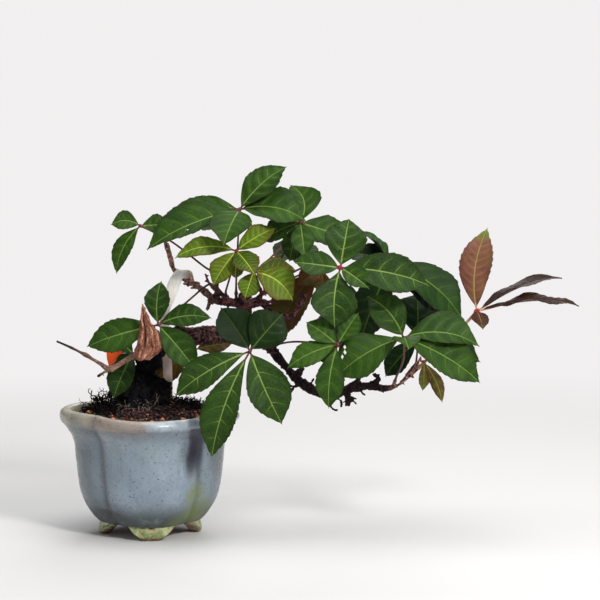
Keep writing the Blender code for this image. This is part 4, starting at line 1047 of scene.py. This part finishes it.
def soil_look():
    """Fired-clay granules: each has its own tone, from near black to orange, with a damp sheen."""
    g = Graph("soil_granules")
    tone = g.value("tone")
    g.colour = g.mix(g.ramp(tone, 0, 0.5), (12, 7, 9), (46, 20, 19))
    g.paint(g.ramp(tone, 0.54, 0.86), (108, 48, 34))
    g.paint(g.ramp(tone, 0.88, 0.97), (206, 124, 84))
    g.paint(g.cloud(700, 4, 0.7, 0.45, 0.75), (32, 14, 16))
    # darker round the trunk and under the stem
    darker_round_trunk = g.ramp(g.most(g.near(-4, 2, 92, 36), g.near(26, 6, 88, 30)), 0.05, 0.45)
    g.paint(g.times(darker_round_trunk, g.cloud(90, 3, 0.6, 0.3, 0.6, 0.5)), (12, 9, 11), 0.85)
    return g.finish(g.cloud(600, 3, 0.5, 0.3, 0.7, 0.55, 0.85), g.bump(g.noise(1200, 4, 0.7), 0.3, 0.8))


def make_soil():
    """The ball of soil, with loose granules over its top and a few large ones near the rim."""
    rng = random.Random(5)
    shape = Shape()
    turned(shape, SOIL_PROFILE, SOIL_SIDES, False, tone=0.2)
    rocks = [rock(rng, 1) for _ in range(7)]

    def scatter(spacing, lift, low, high, chance):
        count = int(2 * SOIL_REACH / spacing)
        for i, j in np.ndindex(count, count):
            x = -SOIL_REACH + (i + rng.uniform(0.1, 0.9)) * spacing
            y = -SOIL_REACH + (j + rng.uniform(0.1, 0.9)) * spacing
            size = rng.uniform(low, high)
            edge = lobed(np.float64(SOIL_EDGE), math.atan2(y, x) - POT_TURN)
            in_trunk = math.hypot(x + 4.5, y) < TRUNK_CLEAR
            if math.hypot(x, y) + size * 1.1 > edge or in_trunk or rng.random() > chance:
                continue
            points, faces = rocks[rng.randrange(len(rocks))]
            turn = rng.uniform(0, TURN)
            c, s = math.cos(turn), math.sin(turn)
            flat = np.array([size, size * rng.uniform(0.75, 1.1), size * rng.uniform(0.6, 0.95)])
            a, b, up = (points[:, rng.sample(range(3), 3)] * flat).T
            middle = np.array([x, y, mound(x, y) + lift + rng.uniform(-0.5, 0.5)])
            shape.add(np.column_stack([a * c - b * s, a * s + b * c, up]) + middle, faces,
                      tone=min(1.0, rng.random() ** 1.25))

    scatter(2.7, -0.9, 1.2, 1.9, 1.0)
    scatter(4.0, 0.5, 0.8, 1.7, 0.75)
    rocks = [rock(rng, 2) for _ in range(5)]
    for x, y, size in LARGE_GRANULES:
        points, faces = rocks[rng.randrange(len(rocks))]
        shape.add(points * (size, size * 0.8, size * 0.7) + (x, y, mound(x, y) + 1.0), faces, tone=0.97)
    piece("soil_seen", shape, [soil_look()], "soil", "soil")


def make_moss():
    """Black moss and rootlets over the flared base, a tuft by the left rim, and some pale roots in front."""
    rng = random.Random(21)
    shape = Shape()

    def hair(start, away, length, radius, slot, bend, sides=3, steps=5):
        points, at, heading = [], np.array(start, float), unit(away)
        for index in range(steps):
            points.append((*at, radius * (1 - 0.6 * index / (steps - 1))))
            heading = unit(heading + np.array([rng.uniform(-bend, bend) for _ in range(3)]))
            at = at + heading * length / (steps - 1)
        tube(shape, points, sides, slot, tone=rng.random())

    def tuft(middle, spread, count, length, radius, up):
        for _ in range(count):
            x, y = middle[0] + rng.gauss(0, spread[0]), middle[1] + rng.gauss(0, spread[1])
            if math.hypot(x, y) > MOSS_EDGE or math.hypot(x - TRUNK_X, y) < MOSS_CLEAR:
                continue
            lift = rng.uniform(-0.5, middle[2])
            away = (rng.uniform(-0.8, 0.8), rng.uniform(-0.8, 0.5), rng.uniform(*up))
            hair((x, y, mound(x, y) + lift), away, rng.uniform(*length), rng.uniform(*radius), 0, 1.1)

    for _ in range(1400):
        turn = rng.uniform(0, TURN)
        radius = rng.uniform(9, 23 if abs(turn - math.pi) < 1.6 else 19)
        x, y = TRUNK_X + radius * math.cos(turn), radius * math.sin(turn) * 0.9
        z = max(mound(x, y), 112 - radius * 1.3) + rng.uniform(-1.2, 0.6)
        away = (math.cos(turn) * 0.8, math.sin(turn) * 0.8, rng.uniform(-0.2, 1.0))
        hair((x, y, z), away, rng.uniform(2.0, 5.0), rng.uniform(0.16, 0.36), 0, 0.6)
    tuft((-35, -6, 3.0), (5.0, 9.0), 200, (3, 6), (0.22, 0.50), (-0.3, 0.6))
    for _ in range(90):
        x, y = rng.uniform(-45, -24), rng.uniform(-14, 10)
        away = (rng.uniform(-1.0, 1.0), rng.uniform(-0.8, 0.6), rng.uniform(0.1, 1.1))
        lift = rng.uniform(-0.5, 9.0) * smooth(-47, -34, x)
        hair((x, y, mound(x, y) + lift), away, rng.uniform(7, 17), rng.uniform(0.30, 0.55), 0, 1.1, 5, 10)
    tuft((-24, -16, 2.0), (8.0, 7.0), 320, (3, 7), (0.22, 0.46), (-0.2, 0.8))
    tuft((27, 4, 3.5), (8.0, 9.0), 420, (3, 7), (0.22, 0.50), (-0.2, 0.8))
    for _ in range(48):
        x, y = rng.uniform(-20, 8), -rng.uniform(13, 26)
        z = max(mound(x, y), 110 - math.hypot(x + 4, y) * 1.2) + 1.4
        away = (rng.uniform(-0.6, 0.6), -0.6, rng.uniform(-0.9, 0.6))
        hair((x, y, z), away, rng.uniform(5, 12), rng.uniform(0.13, 0.22), 1, 0.9, 5, 8)
    g = Graph("moss_black")
    g.colour = g.mix(g.ramp(g.value("tone"), 0.5, 1), (7, 7, 11), (40, 28, 22))
    g.paint(g.cloud(300, 3, 0.5, 0.58, 0.7), (26, 30, 16))
    moss = g.finish(0.95, g.bump(g.noise(1500), 0.1, 0.6), Specular_IOR_Level=0.1)
    g = Graph("root_pale")
    g.colour = g.mix(g.noise(600), (104, 90, 82), (176, 162, 148))
    roots = g.finish(0.7, g.bump(g.noise(1500), 0.08, 0.6))
    piece("moss_and_rootlets", shape, [moss, roots], "bark")


make_pot()
make_soil()
make_moss()


# ---------------------------------------------------------------- label, tag, dry leaf and drainage mesh

LABEL_HALF, LABEL_CUP = 0.28, 0.35  # half its thickness, and how far its middle is cupped
TAG_LAYERS = [(-0.5, 0.35), (-0.36, 0.06), (0.36, 0.06), (0.5, 0.35)]  # depth, and how far in from the outline
TAG_CENTRE = (-26, 125)


def make_label():
    """The strip of a plain plastic plant label: blank, scuffed and a little dirty."""
    shape = Shape()
    route = smooth_route(LABEL, 1.2)
    centres = route[:, :3]
    tangents = units(np.gradient(centres, axis=0))
    spans = np.linspace(-1, 1, 9)
    points = []
    for centre, tangent, width, turn in zip(centres, tangents, route[:, 3], route[:, 4]):
        turn = math.radians(turn)
        across = np.array([math.cos(turn), math.sin(turn), 0.0])
        across = unit(across - tangent * across.dot(tangent))
        normal = np.cross(across, tangent)
        for side in (1, -1):
            for span in spans * side:
                edge = LABEL_HALF * (1 - 0.55 * abs(span) ** 8)
                points.append(centre + across * span * width / 2 * 0.985 + normal * side * edge
                              + normal * LABEL_CUP * (1 - span * span))
    count = 2 * len(spans)
    shape.add(points, capped(len(centres), count), u=np.repeat(centres[:, 2], count))
    g = Graph("label_plastic")
    height = g.value("u")
    g.colour = g.mix(g.noise(60, 3, 0.6), (232, 226, 220), (250, 246, 241))
    smudge = g.ramp(g.noise(1, 4, 0.65, (240, 240, 90)), 0.52, 0.74)
    g.paint(g.times(smudge, g.ramp(height, 150, 172, 0.5, 0.12)), (140, 132, 124))
    g.paint(g.ramp(height, 142, 118, 0, 0.7), (232, 196, 182))
    g.paint(g.times(g.ramp(height, 112, 88), g.cloud(200, 3, 0.5, 0.3, 0.6)), (96, 82, 68), 0.75)
    scratch = g.ramp(g.noise(1, 2, 0.5, (1500, 1500, 60)), 0.6, 0.7)
    g.paint(scratch, (120, 118, 118), 0.25)
    plastic = g.finish(g.cloud(150, 3, 0.5, 0.3, 0.7, 0.32, 0.5), g.bump(scratch, 0.05, 0.5),
                       Subsurface_Weight=0.08, Subsurface_Scale=0.002)
    piece("label_seen", shape, [plastic], "label_plastic", "plant_label")


def make_tag():
    """A small orange stake: faded in places, with soil on its foot."""
    outline = np.array(TAG_OUTLINE, float)
    dense = []
    for a, b in zip(outline, np.roll(outline, -1, axis=0)):
        count = max(1, round(np.linalg.norm(b - a) / 2))
        dense += [a + (b - a) * t / count for t in range(count)]
    dense = np.array(dense)
    inward = units(outline.mean(axis=0) - dense)
    points = [(x, TAG_DEPTH + depth, z) for depth, inset in TAG_LAYERS for x, z in dense + inward * inset]
    count, layers = len(dense), len(TAG_LAYERS)
    faces = quads(layers, count)
    for index, order in ((0, -1), (layers - 1, 1)):  # the back and the front, each a fan round one point
        centre, first = len(points), index * count
        points.append((TAG_CENTRE[0], TAG_DEPTH + TAG_LAYERS[index][0], TAG_CENTRE[1]))
        for k in range(count):
            rim = (first + k, first + (k + 1) % count)
            faces.append((*rim[::order], centre))
    shape = Shape()
    shape.add(points, faces)
    g = Graph("orange_plastic")
    g.colour = g.mix(g.noise(90, 3, 0.6), (255, 86, 30), (255, 110, 48))
    g.paint(g.cloud(160, 4, 0.7, 0.52, 0.75), (255, 150, 96), 0.25)
    g.paint(g.times(g.ramp(g.axis("Z"), 0.112, 0.090), g.cloud(260, 3, 0.5, 0.3, 0.6)), (96, 56, 40))
    plastic = g.finish(g.cloud(200, 3, 0.5, 0.3, 0.7, 0.5, 0.65), g.bump(g.noise(700), 0.05, 0.5),
                       Specular_IOR_Level=0.15)
    piece("tag_seen", shape, [plastic], "orange_plastic", "orange_tag")


def dry_look(name, dark, light):
    """A withered blade: tan pleats between creases darkened with painted shade, pinkish painted highlights on the
    pleats, red-brown blotches and a burnt edge.
    """
    g = Graph(name)
    edge, u = g.value("edge"), g.value("u")
    crease = g.wave(g.value("vein"))
    g.colour = g.mix(g.cloud(150, 4, 0.65, 0.32, 0.68), dark, light)
    g.paint(g.cloud(110, 3, 0.6, 0.5, 0.62), (126, 58, 44), 0.55)
    g.paint(g.cloud(300, 4, 0.7, 0.5, 0.64), (64, 36, 28), 0.75)
    g.paint(g.times(g.near(0, -30, 143, 11), g.cloud(240, 3, 0.6, 0.42, 0.58)), (126, 112, 58), 0.6)
    # painted shade along the creases
    lines = g.times(g.ramp(crease, 0.72, 0.97), g.cloud(120, 3, 0.5, 0.38, 0.62, 0.15))
    g.paint(lines, (54, 28, 24), 0.8)
    # painted shade in the one deep fold
    fold = g.math("ABSOLUTE", g.plus(g.value("tone"), g.times(g.noise(140), 0.08)))
    g.paint(g.times(g.ramp(fold, 0.02, 0.11, 1, 0), g.ramp(u, 0.12, 0.3)), (50, 24, 22), 0.9)
    # painted highlight: pale pink on the pleats between the creases
    g.paint(g.times(g.ramp(crease, 0.4, 0.05), g.cloud(260, 4, 0.7, 0.46, 0.58)), (236, 190, 166), 0.85)
    g.paint(g.ramp(u, 0.86, 1, 0, 0.7), (206, 166, 146))
    g.paint(g.times(g.ramp(edge, 0.8, 1), g.cloud(200, 3, 0.5, 0.32, 0.55)), (50, 28, 24), 0.85)
    web = g.net(520, 0.14)
    g.paint(web, (84, 48, 38), 0.5)
    normal = g.bump(g.plus(g.times(lines, -1), g.times(web, 0.3)), 0.4, 0.9)
    normal = g.bump(g.noise(420, 4, 0.7), 0.5, 0.9, normal)
    return g.finish(g.cloud(300, 3, 0.5, 0.3, 0.7, 0.6, 0.85), normal, Specular_IOR_Level=0.2)


def make_dry_leaf():
    """The withered blade folded up against the trunk: point up, its wide lower edge slantwise."""
    shape = Shape()
    base, tall = np.array([0.2, -34.2, 125.5]), 39.0
    heights = [0, 0.09, 0.175, 0.30, 0.42, 0.52, 0.62, 0.72, 0.82, 0.92, 1]
    left_side = [-7.0, -7.9, -7.8, -6.2, -5.2, -4.7, -4.1, -3.6, -3.1, -2.7, -2.1]
    right_side = [2.5, 7.5, 11.3, 11.0, 10.3, 8.8, 5.6, 3.2, 1.4, -0.3, -1.7]
    u, s = np.linspace(0, 1, 74)[:, None], np.linspace(-1, 1, 49)[None, :]
    left, right = np.interp(u, heights, left_side), np.interp(u, heights, right_side)

    def rumple(along, across, seed):
        return np.array([[noise.noise(Vector((row * along, column * across, seed))) for column in s[0]]
                         for row in u[:, 0]])

    ragged, warp = rumple(22, 1.4, 3.1), rumple(3.0, 1.6, 8.2)
    x = left + (right - left) * (s + 1) / 2 + np.sign(s) * np.abs(s) ** 8 * ragged * np.where(s > 0, 1.1, 0.45)
    z = tall * (u + 0.03 * ragged * (1 - u) ** 4)
    pleat = s * 2.2 + 0.5 * u + 0.45 * warp
    folded = np.abs(np.mod(pleat, 1) - 0.5) * 2
    wide = (right - left) / 18
    lift = 1.3 * (0.5 - folded**1.3) * wide * smooth(0, 0.1, u)
    lift = lift - 2.8 * np.exp(-((s + 0.40 - 0.12 * u) / 0.11) ** 2) * wide * smooth(0.1, 0.35, u)
    lift = lift - 3.0 * smooth(0.6, 1.0, np.abs(s)) * wide + 1.6 * np.sin(3 * u) + 0.8 * rumple(9, 3.2, 1.7) * wide
    lift = lift + 0.9 * rumple(16, 6, 5.3) * wide + 0.5 * rumple(34, 13, 2.9) * wide
    grid = base + np.stack([x, -lift, z + 0 * s], axis=-1)
    for index in np.ndindex(grid.shape[:2]):
        at = Vector(grid[index] * 0.22)
        grid[index] += [0.45 * noise.noise(at + Vector((shift, 0, 0))) for shift in (9.3, 31.7, 57.1)]
    two_sided(shape, grid, np.array([0.0, -1.0, 0.0]), 0.3, u=u, edge=np.abs(s), vein=pleat + 0.5,
              tone=s + 0.36 - 0.12 * u)
    petiole(shape, DRY_SPUR, [], base + (0.5, 2.4, 5.0))
    looks = [dry_look("dry_leaf", (128, 74, 56), (196, 138, 110)),
             dry_look("dry_leaf_under", (96, 60, 44), (140, 94, 72)),
             stalk("dry_stalk", (72, 42, 32), (100, 62, 46), (50, 30, 24))]
    piece("dry_leaf_seen", shape, looks, "dry_leaf", "dry_leaf")


def black_plastic():
    """Moulded black mesh, dulled by soil dust."""
    g = Graph("mesh_plastic")
    dust = g.cloud(300, 4, 0.7, 0.45, 0.7)
    g.colour = g.mix(g.times(dust, 0.5), (26, 26, 28), (86, 66, 56))
    return g.finish(g.ramp(dust, 0, 1, 0.42, 0.8), g.bump(g.noise(900), 0.05, 0.6))


make_label()
make_tag()
make_dry_leaf()
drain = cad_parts["drainage_mesh"].data
drain.materials.clear()
drain.materials.append(black_plastic())


# ---------------------------------------------------------------- stage, light and camera

BACKDROP = (0.885, 0.868, 0.868, 1)
FLOOR_REACH = 12.0
FAR = (0.36, 1.0)  # where the floor starts to turn into the background, and where it has
AMBIENT, AMBIENT_STRENGTH = (0.95, 0.97, 1.0, 1), 0.20
LIGHTS = {  # place, aim, size, power and colour
    "key": ((0.74, -1.16, 1.05), (0.03, 0, 0.14), 0.36, 21, (1.0, 0.985, 0.96)),
    "over": ((0.1, -0.15, 1.6), (0.05, 0, 0.1), 1.5, 20, (1.0, 0.99, 0.98)),
    "fill": ((-1.2, -1.2, 0.6), (0, 0, 0.14), 1.0, 1.2, (0.97, 0.98, 1.0)),
    "back": ((0.1, 1.1, 1.0), (0, 0, 0.16), 0.8, 6, (1.0, 1.0, 1.0)),
}
LENS, SENSOR, CLIP_START = 120, 36, 0.05
CAMERA_FROM_POT, CAMERA_HEIGHT, CAMERA_DOWN = (0.1057, -1.3951), 0.28115, 4.8


def stage_floor():
    """A wide pale floor that turns into the even background far from the plant."""
    size = FLOOR_REACH
    mesh = bpy.data.meshes.new("floor")
    mesh.from_pydata([(-size, -size, 0), (size, -size, 0), (size, size, 0), (-size, size, 0)], [], [(0, 1, 2, 3)])
    obj = placed("floor", mesh)
    g = Graph("floor")
    far = g.node("VectorMath", operation="LENGTH")
    g.put(far.inputs[0], g.place)
    g.colour = g.mix(g.noise(3, 2), (0.66, 0.655, 0.65, 1), (0.69, 0.685, 0.68, 1))
    g.finish(0.7)
    glow = g.node("Emission")
    glow.inputs["Color"].default_value = BACKDROP
    blend = g.node("MixShader")
    part = g.ramp(far.outputs["Value"], *FAR)
    for socket, given in zip(blend.inputs, (part, g.shader.outputs[0], glow.outputs[0])):
        g.put(socket, given)
    g.put(g.tree.nodes["Material Output"].inputs["Surface"], blend.outputs[0])
    mesh.materials.append(g.material)


def studio():
    """Soft ambient light; the camera sees the even background instead."""
    world = bpy.data.worlds.new("studio")
    bpy.context.scene.world = world
    world.use_nodes = True
    tree = world.node_tree
    ambient = tree.nodes["Background"]
    ambient.inputs["Color"].default_value = AMBIENT
    ambient.inputs["Strength"].default_value = AMBIENT_STRENGTH
    shown = tree.nodes.new("ShaderNodeBackground")
    shown.inputs["Color"].default_value = BACKDROP
    either = tree.nodes.new("ShaderNodeMixShader")
    seen = tree.nodes.new("ShaderNodeLightPath").outputs["Is Camera Ray"]
    for socket, given in zip(either.inputs, (seen, ambient.outputs[0], shown.outputs[0])):
        tree.links.new(given, socket)
    tree.links.new(either.outputs[0], tree.nodes["World Output"].inputs["Surface"])


def area_light(name, place, aim, size, power, colour):
    """A round lamp at a place, turned to what it lights."""
    data = bpy.data.lights.new(name, "AREA")
    data.shape = "DISK"
    data.size = size
    data.energy = power
    data.color = colour
    obj = placed(name, data)
    obj.location = place
    obj.rotation_euler = (Vector(aim) - Vector(place)).to_track_quat("-Z", "Y").to_euler()


stage_floor()
studio()
for light_name, light in LIGHTS.items():
    area_light(light_name, *light)
view = bpy.data.cameras.new("camera")
view.lens = LENS
view.sensor_width = SENSOR
view.clip_start = CLIP_START
camera = placed("camera", view)
camera.location = (POT[0] + CAMERA_FROM_POT[0], POT[1] + CAMERA_FROM_POT[1], CAMERA_HEIGHT)
camera.rotation_euler = (math.radians(90 - CAMERA_DOWN), 0, 0)
bpy.context.scene.camera = camera
bpy.context.scene.view_settings.view_transform = "Standard"
